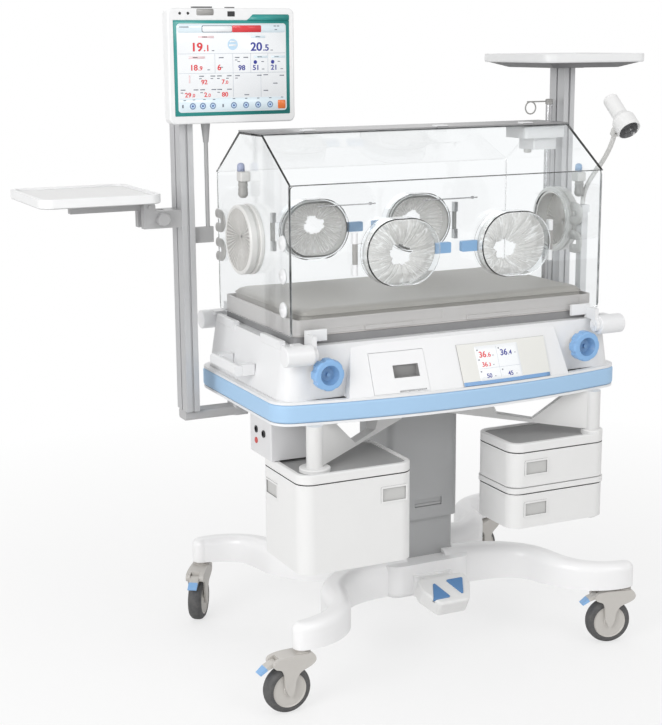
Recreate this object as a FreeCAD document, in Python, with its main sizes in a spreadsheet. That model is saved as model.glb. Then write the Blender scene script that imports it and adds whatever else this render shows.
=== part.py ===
import FreeCAD, Part
import math
import os
import Sketcher

# Infant incubator on a height-adjustable stand, in millimetres.
# X runs to the right, Y to the back and Z up. The origin is on the floor under the lift column.

SIZES = {
    # Running gear
    "caster_offset_side": 495, "caster_offset_front": 360, "caster_height": 163, "caster_trail": 45,
    "wheel_diameter": 125, "wheel_width": 38, "fork_width": 52, "axle_diameter": 10, "lever_reach": 46,
    "leg_end_width": 50, "leg_end_height": 69, "leg_hub_width": 92, "leg_hub_height": 104,
    "hub_width": 260, "hub_depth": 290, "hub_drop": 18, "hub_height": 95,
    "pedal_box_width": 150, "pedal_box_depth": 100, "pedal_box_height": 46, "pedal_travel": 6,
    # Lift column
    "column_width": 218, "column_depth": 200, "sleeve_wall": 11, "slide_gap": 0.5, "lift_travel": 200,
    "column_reach": 476, "sleeve_length": 363, "inner_wall": 5, "actuator_diameter": 62,
    "actuator_rod_diameter": 36,
    # Bed
    "bed_width": 892, "bed_depth": 466, "tray_height": 43, "tray_wall": 4, "air_deck_height": 20,
    "mattress_height": 52, "platform_height": 6, "bed_gap": 0.3,
    "fan_x": 150, "fan_y": 60, "fan_diameter": 130, "fan_blades": 9,
    # Hood, with its room round the bed
    "hood_end_room": 18, "hood_side_room": 12, "hood_lift": 24, "hood_wall_height": 378,
    "hood_slope_rise": 115, "hood_flat": 150, "acrylic": 6, "top_strip": 4,
    "port_offset": 167, "port_rise": 200, "port_radius": 74, "port_stretch": 38, "collar_wall": 5,
    "collar_length": 22, "port_door_depth": 46, "port_pin_stand": 12, "iris_radius": 80, "iris_ring": 11,
    "iris_length": 40, "door_axis_stand": 45, "door_axis_drop": 14,
    "barrel_diameter": 52, "barrel_length": 76, "barrel_inset": 34,
    # Deck, with its shoulders round the hood
    "shell_shoulder": 36, "shell_step_front": 25, "shell_step_back": 28, "deck_shoulder": 20,
    "deck_step": 12, "deck_bow": 60, "deck_corner_radius": 60, "deck_edge_height": 61,
    "bumper_height": 48, "bumper_depth": 13, "pan_wall": 6, "shell_height": 135, "shell_taper": 22,
    "shell_wall": 5, "panel_width": 660, "panel_taper": 25, "panel_stand": 52, "panel_bow": 20,
    "panel_setback": 6, "panel_drop": 8, "display_left": -8, "display_width": 274, "display_height": 102,
    "bezel_proud": 3, "tank_left": -262, "tank_width": 155, "tank_height": 100, "tank_depth": 190,
    "knob_inset": 114, "knob_drop": 68, "knob_diameter": 82, "knob_depth": 27, "knob_lobes": 8,
    # Swing-out boxes
    "post_offset_side": 422, "post_stand": 18, "post_diameter": 43, "lid_drop": 113,
    "lid_height": 24, "lid_gap": 3, "box_wall": 3, "box_width": 322, "box_depth": 255, "box_height": 261,
    "box_side_margin": 65, "box_front_margin": 57, "cabinet_width": 308, "cabinet_depth": 194,
    "cabinet_side_margin": 32, "cabinet_front_margin": 32, "mid_plate_height": 15,
    "drawer_height": 95, "arm_thickness": 30, "pull_width": 66, "pull_height": 34,
    # Masts and what they carry
    "mast_gap": 57, "mast_width": 37, "mast_depth": 75, "mast_front": 115, "mast_foot_drop": 36,
    "mast_above_hood": 148, "side_shelf_width": 318, "side_shelf_depth": 335, "top_shelf_width": 345,
    "top_shelf_depth": 362, "shelf_rim": 24, "shelf_corner": 34, "side_shelf_shift": 25,
    "side_shelf_drop": 294, "side_shelf_stand": 314, "shelf_pivot_stand": 87, "shelf_pivot_drop": 43,
    "monitor_width": 348, "monitor_height": 290, "monitor_thickness": 38, "monitor_overhang": 43,
    "monitor_above_hood": 24, "monitor_front": 60, "pole_diameter": 15, "pole_tube_wall": 2,
    "pole_stand": 28, "pole_y": 150, "pole_above_hood": 55, "lamp_stand": 20, "lamp_diameter": 42,
    "lamp_bell": 64, "running_gap": 0.3, "pin_play": 0.05,
}

doc = FreeCAD.newDocument("infant_incubator")
sheet = doc.addObject("Spreadsheet::Sheet", "Sizes")
for row, (alias, number) in enumerate(SIZES.items(), start=1):
    sheet.set(f"A{row}", alias)
    sheet.set(f"B{row}", str(number))
    sheet.setAlias(f"B{row}", alias)
doc.recompute()


class Length:
    """A number that remembers the sheet formula it comes from."""

    def __init__(self, number, formula):
        self.number = number
        self.formula = formula

    def joined(self, other, sign, result):
        return Length(result, f"({self.formula} {sign} {length(other).formula})")

    def __add__(self, other):
        return self.joined(other, "+", self.number + float(other))

    def __sub__(self, other):
        return self.joined(other, "-", self.number - float(other))

    def __mul__(self, other):
        return self.joined(other, "*", self.number * float(other))

    def __truediv__(self, other):
        return self.joined(other, "/", self.number / float(other))

    def __radd__(self, other):
        return length(other) + self

    def __rsub__(self, other):
        return length(other) - self

    def __rmul__(self, other):
        return length(other) * self

    def __neg__(self):
        return length(0) - self

    def __float__(self):
        return float(self.number)


def length(value):
    return value if isinstance(value, Length) else Length(float(value), repr(float(value)))


class Cells:
    """Every alias of the sheet as a Length."""

    def __init__(self):
        for alias in SIZES:
            setattr(self, alias, Length(float(sheet.get(alias)), f"Sizes.{alias}"))


d = Cells()

# Places that follow from the sizes

d.hub_bottom = d.caster_height - d.hub_drop
d.hub_top = d.hub_bottom + d.hub_height
d.deck_bottom = d.hub_top + d.column_reach
d.deck_top = d.deck_bottom + d.deck_edge_height
d.sleeve_bottom = d.deck_bottom - d.sleeve_length
d.lid_top = d.deck_bottom - d.lid_drop
d.box_bottom = d.lid_top - d.box_height
d.cabinet_top = d.lid_top - d.lid_gap
d.shell_top = d.deck_top + d.shell_height
d.panel_top = d.shell_top - d.panel_drop
d.display_bottom = d.deck_top + 1
d.tank_bottom = d.deck_top + 3
d.knob_height = d.shell_top - d.knob_drop
d.hood_bottom = d.shell_top + d.hood_lift
d.shoulder_height = d.hood_bottom + d.hood_wall_height
d.hood_top = d.shoulder_height + d.hood_slope_rise
d.port_height = d.hood_bottom + d.port_rise
d.door_axis_height = d.shell_top - d.door_axis_drop
d.mast_bottom = d.deck_bottom - d.mast_foot_drop
d.mast_top = d.hood_top + d.mast_above_hood
d.side_shelf_top = d.mast_top - d.side_shelf_drop
d.shelf_pivot_height = d.side_shelf_top - d.shelf_pivot_drop
d.monitor_bottom = d.hood_top + d.monitor_above_hood
d.pole_top = d.hood_top + d.pole_above_hood
d.hood_width = d.bed_width + d.hood_end_room * 2
d.hood_depth = d.bed_depth + d.hood_side_room * 2
d.shell_width = d.hood_width + d.shell_shoulder * 2
d.deck_width = d.shell_width + d.deck_shoulder * 2
d.shell_front = d.hood_depth / 2 + d.shell_step_front
d.shell_back = d.hood_depth / 2 + d.shell_step_back
d.deck_front_corner = d.shell_front + d.deck_step
d.deck_front_middle = d.shell_front + d.deck_bow
d.deck_back = d.shell_back + d.deck_step
d.panel_front = d.shell_front + d.panel_stand
d.panel_top_front = d.shell_front - d.panel_setback
d.post_offset_front = d.shell_front + d.post_stand
d.door_axis_front = d.hood_depth / 2 + d.door_axis_stand
d.barrel_offset = d.shell_width / 2 - d.barrel_inset
d.knob_offset = d.shell_width / 2 - d.knob_inset
d.mast_inner = d.deck_width / 2 + d.mast_gap
d.shelf_pivot_x = d.mast_inner + d.mast_width + d.shelf_pivot_stand
d.side_shelf_reach = d.shelf_pivot_x + d.side_shelf_stand
d.monitor_left = d.mast_inner + d.mast_width + d.monitor_overhang
d.pole_x = d.mast_inner - d.pole_stand
d.lamp_x = d.shell_width / 2 + d.lamp_stand

LEFT, RIGHT = -1, 1
FRONT, REAR = -1, 1
NODES = []


# Small builders

def vector(x, y, z):
    return FreeCAD.Vector(float(x), float(y), float(z))


def bind(thing, name, value):
    thing.setExpression(name, length(value).formula)


def put(thing, x, y, z, rotation=None):
    thing.Placement = FreeCAD.Placement(vector(x, y, z), rotation or FreeCAD.Rotation())
    for axis, value in zip("xyz", (x, y, z)):
        bind(thing, f".Placement.Base.{axis}", value)
    return thing


def block(xs, ys, zs):
    box = doc.addObject("Part::Box", "block")
    for name, (low, high) in zip(("Length", "Width", "Height"), (xs, ys, zs)):
        bind(box, name, length(high) - low)
    return put(box, xs[0], ys[0], zs[0])


ALONG = {
    "x": FreeCAD.Rotation(FreeCAD.Vector(0, 1, 0), 90),
    "y": FreeCAD.Rotation(FreeCAD.Vector(1, 0, 0), -90),
    "z": FreeCAD.Rotation(),
}


def rod(axis, start, radius, reach):
    bar = doc.addObject("Part::Cylinder", "rod")
    bind(bar, "Radius", radius)
    bind(bar, "Height", reach)
    return put(bar, *start, ALONG[axis])


def fuse(*things):
    union = doc.addObject("Part::MultiFuse", "fuse")
    union.Shapes = list(things)
    return union


def cut(base, *tools):
    result = doc.addObject("Part::Cut", "cut")
    result.Base = base
    result.Tool = tools[0] if len(tools) == 1 else fuse(*tools)
    return result


def common(first, second):
    result = doc.addObject("Part::Common", "common")
    result.Base = first
    result.Tool = second
    return result


def feature(shape):
    thing = doc.addObject("Part::Feature", "feature")
    thing.Shape = shape
    return thing


def soften(thing, radius, chosen):
    doc.recompute()
    numbers = [n for n, edge in enumerate(thing.Shape.Edges, start=1) if chosen(edge)]
    smooth = doc.addObject("Part::Fillet", "soft")
    smooth.Base = thing
    smooth.Edges = [(n, float(radius), float(radius)) for n in numbers]
    return smooth


def upright(edge):
    box = edge.BoundBox
    return box.ZLength > 1 and box.XLength < 0.01 and box.YLength < 0.01


def level_at(height):
    def test(edge):
        box = edge.BoundBox
        return box.ZLength < 0.01 and abs(box.ZMin - float(height)) < 0.01
    return test


def facing(y):
    def test(edge):
        box = edge.BoundBox
        return box.YLength < 0.01 and abs(box.YMin - float(y)) < 0.01
    return test


def origin_plane(body, role):
    return next(item for item in body.Origin.OriginFeatures if item.Role == role)


def outline(body, plane, points):
    """Draw a closed sketch whose every corner is held by sheet formulas."""
    sketch = body.newObject("Sketcher::SketchObject", "outline")
    sketch.AttachmentSupport = [(origin_plane(body, plane), "")]
    sketch.MapMode = "FlatFace"
    corners = [vector(x, y, 0) for x, y in points]
    count = len(corners)
    for i in range(count):
        sketch.addGeometry(Part.LineSegment(corners[i], corners[(i + 1) % count]))
    for i in range(count):
        sketch.addConstraint(Sketcher.Constraint("Coincident", i, 2, (i + 1) % count, 1))
    for i, (x, y) in enumerate(points):
        hold(sketch, i, "DistanceX", -2, x)
        hold(sketch, i, "DistanceY", -1, y)
    return sketch


def hold(sketch, corner, kind, axis, value):
    if abs(float(value)) < 1e-9:
        sketch.addConstraint(Sketcher.Constraint("PointOnObject", corner, 1, axis))
        return
    number = sketch.addConstraint(Sketcher.Constraint(kind, -1, 1, corner, 1, float(value)))
    bind(sketch, f"Constraints[{number}]", value)


def padded_profile(plane, points, reach, at=(0, 0, 0), rotation=None):
    """Pad an outline: XY grows up, XZ towards -Y and YZ towards +X."""
    body = doc.addObject("PartDesign::Body", "profile")
    sketch = outline(body, plane, points)
    pad = body.newObject("PartDesign::Pad", "pad")
    pad.Profile = sketch
    bind(pad, "Length", reach)
    body.Tip = pad
    return put(body, *at, rotation)


def turned_profile(points, at, rotation=None):
    """Turn an outline in the XZ plane about the Z axis."""
    body = doc.addObject("PartDesign::Body", "turned")
    sketch = outline(body, "XZ_Plane", points)
    turn = body.newObject("PartDesign::Revolution", "turn")
    turn.Profile = sketch
    turn.ReferenceAxis = (sketch, ["V_Axis"])
    turn.Angle = 360
    body.Tip = turn
    return put(body, *at, rotation)


def wall_outline(half_x, front, middle, back, radius, inset, z):
    """The deck's plan: a bowed front edge that runs smoothly into round corners."""
    half_x, front, middle, back, radius = (float(v) for v in (half_x, front, middle, back, radius))
    centre_x = half_x - radius
    front_y = -front + radius
    back_y = back - radius
    meeting = -middle + radius
    bow_y = (centre_x ** 2 + front_y ** 2 - meeting ** 2) / (2 * (front_y - meeting))
    bow_radius = bow_y + middle - inset
    lean = math.atan2(centre_x, bow_y - front_y)
    r = radius - inset

    def spot(cx, cy, reach, angle):
        return vector(cx + reach * math.cos(angle), cy + reach * math.sin(angle), z)

    def arc(cx, cy, reach, start, end):
        return Part.Arc(spot(cx, cy, reach, start), spot(cx, cy, reach, (start + end) / 2),
                        spot(cx, cy, reach, end)).toShape()

    down = -math.pi / 2
    arcs = [
        arc(-centre_x, front_y, r, -math.pi, down - lean),
        arc(0, bow_y, bow_radius, down - lean, down + lean),
        arc(centre_x, front_y, r, down + lean, 0),
        arc(centre_x, back_y, r, 0, math.pi / 2),
        arc(-centre_x, back_y, r, math.pi / 2, math.pi),
    ]
    edges = []
    for i, edge in enumerate(arcs):
        following = arcs[(i + 1) % len(arcs)]
        edges.append(edge)
        start = edge.Vertexes[-1].Point
        end = following.Vertexes[0].Point
        if start.distanceToPoint(end) > 1e-6:
            edges.append(Part.LineSegment(start, end).toShape())
    return Part.Wire(edges)


def stadium(radius, stretch, y0, y1, x, z):
    """A round-ended disc that lies across the hood's front or rear wall."""
    low, high = sorted((float(y0), float(y1)))
    radius, half = float(radius), float(stretch) / 2
    x, z = float(x), float(z)
    right_top = vector(x + half, low, z + radius)
    left_top = vector(x - half, low, z + radius)
    right_low = vector(x + half, low, z - radius)
    left_low = vector(x - half, low, z - radius)
    wire = Part.Wire([
        Part.LineSegment(left_top, right_top).toShape(),
        Part.Arc(right_top, vector(x + half + radius, low, z), right_low).toShape(),
        Part.LineSegment(right_low, left_low).toShape(),
        Part.Arc(left_low, vector(x - half - radius, low, z), left_top).toShape(),
    ])
    return Part.Face(wire).extrude(FreeCAD.Vector(0, high - low, 0))


def node(thing, label):
    thing.Label = label
    NODES.append(thing)
    return thing


# Running gear

SWIVELS = {
    "front_left": (LEFT, FRONT, 182),
    "front_right": (RIGHT, FRONT, 165),
    "rear_left": (LEFT, REAR, 236),
    "rear_right": (RIGHT, REAR, 206),
}


def at_corner(thing, corner):
    side, end, angle = SWIVELS[corner]
    turn = FreeCAD.Rotation(FreeCAD.Vector(0, 0, 1), angle)
    return put(thing, side * d.caster_offset_side, end * d.caster_offset_front, 0, turn)


def smooth_plate(points, low, high):
    """A plate in the XZ plane whose outline is one closed smooth curve."""
    curve = Part.BSplineCurve()
    curve.interpolate([vector(x, low, z) for x, z in points], PeriodicFlag=True)
    return feature(Part.Face(Part.Wire([curve.toShape()])).extrude(vector(0, high - low, 0)))


def lever_pivot():
    return d.caster_trail + 34, d.caster_height - 26


def caster_fork(corner):
    """A swan-necked housing: a broad cap over the wheel and a round-ended arm on each side."""
    radius = d.wheel_diameter / 2
    trail = d.caster_trail
    height = d.caster_height
    half = d.fork_width / 2
    sides = [
        (-23, height - 15), (-26, height - 32), (-8, height - 45), (trail - 27, height - 57),
        (trail - 15, radius + 22), (trail - 11, radius), (trail, radius - 15), (trail + 11, radius),
        (trail + 16, radius + 26), (trail + 26, height - 41), (trail + 43, height - 33),
        (trail + 45, height - 23), (trail + 24, height - 11), (trail - 20, height - 9), (-8, height - 9),
    ]
    housing = smooth_plate(sides, -half, half)
    slot_half = d.wheel_width / 2 + 1
    slot = rod("y", (trail, -slot_half, radius), radius + 4, slot_half * 2)
    mouth = block((trail - radius, trail + radius), (-slot_half, slot_half), (0, radius))
    pivot_x, pivot_z = lever_pivot()
    notch = block((pivot_x - 7, pivot_x + 40), (-13.5, 13.5), (height - 60, height))
    pin = rod("y", (pivot_x, -half, pivot_z), 2.5, d.fork_width)
    neck = rod("z", (0, 0, height - 20), 21, 20 - d.running_gap * 4)
    groove = rod("z", (0, 0, height - 6), 25, 2)
    groove = cut(groove, rod("z", (0, 0, height - 6), 18, 2))
    axle = rod("y", (trail, -half, radius), d.axle_diameter / 2, d.fork_width)
    shell = fuse(cut(housing, slot, mouth, notch), cut(neck, groove), axle, pin)
    node(at_corner(shell, corner), f"caster_fork_{corner}")


def caster_wheel(corner):
    radius = d.wheel_diameter / 2
    half = d.wheel_width / 2
    bore = d.axle_diameter / 2 + d.pin_play
    rim = radius - 17
    shape = [
        (bore, -half), (bore + 9, -half), (bore + 11, 3 - half), (rim - 3, 3 - half), (rim, -half),
        (radius - 8, -half), (radius - 2, 6 - half), (radius, 12 - half),
        (radius, half - 12), (radius - 2, half - 6), (radius - 8, half), (rim, half),
        (rim - 3, half - 3), (bore + 11, half - 3), (bore + 9, half), (bore, half),
    ]
    side, end, angle = SWIVELS[corner]
    facing_way = FreeCAD.Rotation(FreeCAD.Vector(0, 0, 1), angle).multiply(ALONG["y"])
    turn = math.radians(angle)
    x = side * d.caster_offset_side + d.caster_trail * math.cos(turn)
    y = end * d.caster_offset_front + d.caster_trail * math.sin(turn)
    node(turned_profile(shape, (x, y, radius), facing_way), f"caster_wheel_{corner}")


def caster_brake(corner):
    """A foot lever between the housing's cheeks."""
    x, z = lever_pivot()
    reach = d.lever_reach
    blade = [
        (x - 2, z - 5), (x + 0.5 * reach, z - 13), (x + 0.92 * reach, z - 24), (x + reach, z - 21),
        (x + 0.6 * reach, z - 5), (x + 6, z + 5), (x - 2, z + 5),
    ]
    plate = padded_profile("XZ_Plane", blade, 26, (0, 13, 0))
    barrel = rod("y", (x, -13, z), 5.5, 26)
    bore = rod("y", (x, -14, z), 2.5 + d.pin_play, 28)
    node(at_corner(cut(fuse(plate, barrel), bore), corner), f"caster_brake_{corner}")


def leg_section(x, y, heading, width, low, high):
    """One slice of a leg: flat underneath and rounded on top."""
    across = FreeCAD.Vector(-math.sin(heading), math.cos(heading), 0)
    middle = vector(x, y, 0)
    soft = 0.40 * width
    bend = soft * (1 - math.sqrt(0.5))

    def spot(reach, z):
        return middle + across * reach + FreeCAD.Vector(0, 0, z)

    half = width / 2
    corners = [
        spot(-half, low), spot(half, low), spot(half, high - soft), spot(half - bend, high - bend),
        spot(half - soft, high), spot(soft - half, high), spot(bend - half, high - bend),
        spot(-half, high - soft),
    ]
    return Part.Wire([
        Part.LineSegment(corners[0], corners[1]).toShape(),
        Part.LineSegment(corners[1], corners[2]).toShape(),
        Part.Arc(corners[2], corners[3], corners[4]).toShape(),
        Part.LineSegment(corners[4], corners[5]).toShape(),
        Part.Arc(corners[5], corners[6], corners[7]).toShape(),
        Part.LineSegment(corners[7], corners[0]).toShape(),
    ])


def leg(side, end):
    """An S-shaped leg that sweeps from the hub out to its caster."""
    tip_x, tip_y = float(d.caster_offset_side), float(d.caster_offset_front)
    route = [
        (60, 78), (150, 82), (245, 108), (0.645 * tip_x, 0.5 * tip_y), (0.70 * tip_x, 0.74 * tip_y),
        (0.80 * tip_x, 0.915 * tip_y), (tip_x, tip_y),
    ]
    curve = Part.BSplineCurve()
    curve.interpolate([vector(side * x, end * y, 0) for x, y in route])
    low = float(d.hub_bottom) + 5
    sections = []
    for step in range(len(route)):
        where = curve.parameter(vector(side * route[step][0], end * route[step][1], 0))
        along = curve.tangent(where)[0]
        share = step / (len(route) - 1)
        width = float(d.leg_hub_width) + share * float(d.leg_end_width - d.leg_hub_width)
        bottom = low + share * (float(d.caster_height) - low)
        height = float(d.leg_hub_height) + share * float(d.leg_end_height - d.leg_hub_height)
        heading = math.atan2(along.y, along.x)
        spot = curve.value(where)
        sections.append(leg_section(spot.x, spot.y, heading, width, bottom, bottom + height))
    beam = feature(Part.makeLoft(sections, True, False))
    tip = rod("z", (side * d.caster_offset_side, end * d.caster_offset_front, d.caster_height),
              d.leg_end_width / 2, d.leg_end_height)
    tip = soften(tip, 0.395 * float(d.leg_end_width), level_at(d.caster_height + d.leg_end_height))
    return [beam, tip]


def base_frame():
    half_x, half_y = d.hub_width / 2, d.hub_depth / 2
    hub = block((-half_x, half_x), (-half_y, half_y), (d.hub_bottom, d.hub_top))
    hub = soften(hub, 40, upright)
    hub = soften(hub, 18, level_at(d.hub_bottom))
    pieces = [hub]
    for side in (LEFT, RIGHT):
        for end in (FRONT, REAR):
            pieces += leg(side, end)
    lean = block((-half_x * 0.45, half_x * 0.45), (-half_y - 12, -half_y + 20), (d.hub_bottom + 5, d.hub_top - 30))
    foot_x, foot_y = inner_column(d.running_gap)
    socket = block((-foot_x, foot_x), (-foot_y, foot_y), (d.hub_top, d.hub_top + 60))
    node(cut(fuse(*pieces, soften(lean, 10, upright)), socket), "base_frame")


PEDAL_TILT = FreeCAD.Rotation(FreeCAD.Vector(1, 0, 0), 28)


def foot_control():
    """The two-pedal box on the front of the hub, tipped towards the foot."""
    half = d.pedal_box_width / 2
    front = d.hub_depth / 2 + 12 + d.pedal_box_depth
    top = d.pedal_box_height
    plan = [
        (-half, 0), (-half, 0.45 * d.pedal_box_depth), (-half + 30, d.pedal_box_depth),
        (half - 30, d.pedal_box_depth), (half, 0.45 * d.pedal_box_depth), (half, 0),
    ]
    plan = [(x, d.pedal_box_depth - y) for x, y in plan]
    box = padded_profile("XY_Plane", plan, top)
    box = soften(box, 16, upright)
    box = soften(box, 7, level_at(top))
    well_floor = top - 12
    wells = []
    for side in (LEFT, RIGHT):
        wells.append(pedal_prism(side, d.running_gap, well_floor, 13))
    box = place_pedal(cut(box, *wells), front)
    neck = block((-40, 40), (-front + 76, -front + d.pedal_box_depth), (d.hub_bottom + 30, d.hub_bottom + 62))
    node(fuse(box, neck), "pedal_box")
    for side, label in ((LEFT, "pedal_up"), (RIGHT, "pedal_down")):
        pad_bottom = well_floor + d.pedal_travel + 0.5
        pad = soften(pedal_prism(side, 0, pad_bottom, 9), 2, level_at(pad_bottom + 9))
        node(place_pedal(pad, front), label)


def pedal_prism(side, clearance, low, height):
    """A triangle: its point is away from the foot on the left and towards it on the right."""
    half = 27 + clearance
    near, far = 18 - clearance, 78 + clearance
    middle = side * 33
    if side == LEFT:
        points = [(middle - half, near), (middle + half, near), (middle, far + clearance)]
    else:
        points = [(middle - half, far), (middle, near - clearance), (middle + half, far)]
    tool = padded_profile("XY_Plane", points, height, (0, 0, low))
    return soften(tool, 4, upright)


def place_pedal(thing, front):
    return put(thing, 0, -front, d.hub_bottom - 16, PEDAL_TILT)


# Lift column

def inner_column(margin):
    gap = d.sleeve_wall + d.slide_gap - margin
    return d.column_width / 2 - gap, d.column_depth / 2 - gap


def column_lower():
    half_x, half_y = inner_column(0)
    top = d.deck_bottom - 76
    post = soften(block((-half_x, half_x), (-half_y, half_y), (d.hub_top, top)), 12, upright)
    inner_x, inner_y = half_x - d.inner_wall, half_y - d.inner_wall
    hollow = block((-inner_x, inner_x), (-inner_y, inner_y), (d.hub_top, top))
    node(cut(post, hollow), "column_lower")


def lift_actuator():
    top = d.deck_bottom - 96
    tube = rod("z", (0, 0, d.hub_top), d.actuator_diameter / 2, top - d.hub_top)
    bore = rod("z", (0, 0, d.hub_top + 30), d.actuator_rod_diameter / 2 + d.running_gap, top)
    motor = rod("z", (0, 55, d.hub_top), 24, 150)
    gearbox = block((-28, 28), (-28, 78), (d.hub_top, d.hub_top + 26))
    node(cut(fuse(tube, motor, gearbox), bore), "lift_actuator")


def column_upper():
    half_x, half_y = d.column_width / 2, d.column_depth / 2
    sleeve = block((-half_x, half_x), (-half_y, half_y), (d.sleeve_bottom, d.deck_bottom))
    sleeve = soften(sleeve, 22, upright)
    inner_x, inner_y = half_x - d.sleeve_wall, half_y - d.sleeve_wall
    hollow = block((-inner_x, inner_x), (-inner_y, inner_y), (d.sleeve_bottom, d.deck_bottom - 12))
    hollow = soften(hollow, 11, upright)
    grip = block((-30, 55), (-half_y - 1, -half_y + 5), (d.sleeve_bottom + 35, d.sleeve_bottom + 57))
    grip = soften(grip, 2, facing(-half_y + 5))
    ledge = block((-28, 53), (-half_y + 2, -half_y + 5), (d.sleeve_bottom + 37, d.sleeve_bottom + 43))
    rod_length = d.deck_bottom - 12 - d.hub_top - 40
    inner_rod = rod("z", (0, 0, d.hub_top + 40), d.actuator_rod_diameter / 2, rod_length)
    node(fuse(cut(sleeve, hollow, grip), ledge, inner_rod), "column_upper")


def support_arms():
    """Cranked beams from the column's head to the two box posts."""
    pieces = []
    half_x, half_y = d.column_width / 2, d.column_depth / 2
    head = block((-half_x - 0.1, half_x + 0.1), (-half_y - 0.1, half_y + 0.1), (d.sleeve_bottom, d.deck_bottom + 1))
    reach = math.hypot(float(d.post_offset_side), float(d.post_offset_front) - 40)
    low = d.lid_top + 5
    top = d.deck_bottom - 0.2
    sides = [(0, low), (0, top), (reach, top), (reach, top - 62), (reach - 90, top - 66)]
    window = [(78, top - 12), (165, low + 26), (262, low + 40), (290, top - 12)]
    angle = math.degrees(math.atan2(float(d.post_offset_front) - 40, float(d.post_offset_side)))
    for side in (LEFT, RIGHT):
        heading = angle if side == LEFT else 180 - angle
        turn = FreeCAD.Rotation(FreeCAD.Vector(0, 0, 1), heading)
        sideways = turn.multVec(vector(0, d.arm_thickness / 2, 0))
        foot = (side * d.post_offset_side + sideways.x, -d.post_offset_front + sideways.y, 0)
        beam = padded_profile("XZ_Plane", sides, d.arm_thickness, foot, turn)
        hole = padded_profile("XZ_Plane", window, d.arm_thickness, foot, turn)
        post = rod("z", (side * d.post_offset_side, -d.post_offset_front, d.lid_top + 5),
                   d.post_diameter / 2, top - d.lid_top - 5)
        pieces.append(cut(fuse(cut(beam, hole), post), head))
    node(fuse(*pieces), "support_arms")


# Deck

def deck_plan(inset, z):
    return wall_outline(d.deck_width / 2, d.deck_front_corner, d.deck_front_middle, d.deck_back,
                        d.deck_corner_radius, inset, float(z))


def deck_slab(inset, low, high):
    return Part.Face(deck_plan(inset, low)).extrude(vector(0, 0, high - low))


def deck_base():
    """The white pan whose two lips frame the bumper."""
    low = float(d.deck_bottom)
    high = low + float(d.deck_edge_height)
    lip = (float(d.deck_edge_height - d.bumper_height)) / 2
    channel = float(d.bumper_depth)
    body = deck_slab(channel, low, high)
    body = body.fuse([deck_slab(2, low, low + lip), deck_slab(2, high - lip, high)])
    pan = deck_slab(channel + float(d.pan_wall), low + float(d.pan_wall), high + 1)
    node(feature(body.cut(pan).removeSplitter()), "deck_base")


def bumper():
    lip = (d.deck_edge_height - d.bumper_height) / 2
    low = d.deck_bottom + lip + d.running_gap
    high = d.deck_bottom + d.deck_edge_height - lip - d.running_gap
    outer = deck_slab(0, float(low), float(high))
    inner = deck_slab(float(d.bumper_depth - d.running_gap), float(low) - 1, float(high) + 1)
    rim = deck_plan(0, float(low)).extrude(vector(0, 0, high - low))

    def outer_rim(edge):
        middle = edge.valueAt((edge.FirstParameter + edge.LastParameter) / 2)
        return edge.BoundBox.ZLength < 0.01 and Part.Vertex(middle).distToShape(rim)[0] < 0.05

    node(soften(feature(outer.cut(inner)), 7, outer_rim), "bumper")


def shell_loft(inset, low, high):
    """The main housing narrows from the pan up to the hood's seat."""
    whole = float(d.shell_top) - float(d.deck_bottom + d.deck_edge_height)

    def plan(z):
        share = (z - float(d.deck_bottom + d.deck_edge_height)) / whole
        narrow = share * float(d.shell_taper)
        front = float(d.shell_front) - 0.4 * narrow
        return wall_outline(float(d.shell_width) / 2 - narrow, front - 1, front, float(d.shell_back) - 0.5 * narrow,
                            48 - 0.5 * narrow, inset, z)

    return Part.makeLoft([plan(float(low)), plan(float(high))], True, True)


def panel_loft(inset, low, high):
    """The raised control panel in the middle of the front, leaning back."""
    base = float(d.deck_bottom + d.deck_edge_height)
    whole = float(d.panel_top) - base

    def plan(z):
        share = (z - base) / whole
        half = float(d.panel_width) / 2 - share * float(d.panel_taper) - inset
        bow = float(d.panel_bow) * (1 - 0.8 * share)
        middle = -float(d.panel_front) + share * float(d.panel_front - d.panel_top_front) + inset
        back = 30 - float(d.shell_front)
        corners = [vector(-half, back, z), vector(-half, middle + bow, z), vector(half, middle + bow, z),
                   vector(half, back, z)]
        return Part.Wire([
            Part.LineSegment(corners[0], corners[1]).toShape(),
            Part.Arc(corners[1], vector(0, middle, z), corners[2]).toShape(),
            Part.LineSegment(corners[2], corners[3]).toShape(),
            Part.LineSegment(corners[3], corners[0]).toShape(),
        ])

    return Part.makeLoft([plan(float(low)), plan(float(high))], True, True)


def panel_slab(xs, zs, proud, sunk):
    """A plate that follows the control panel's curved face."""
    base = d.deck_top
    window = Part.makeBox(float(xs[1] - xs[0]), 160, float(zs[1] - zs[0]),
                          vector(xs[0], -d.panel_front - 58, zs[0]))
    outer = panel_loft(-proud, base, d.panel_top).common(window)
    return outer.cut(panel_loft(sunk, base - 1, d.panel_top + 1))


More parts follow.
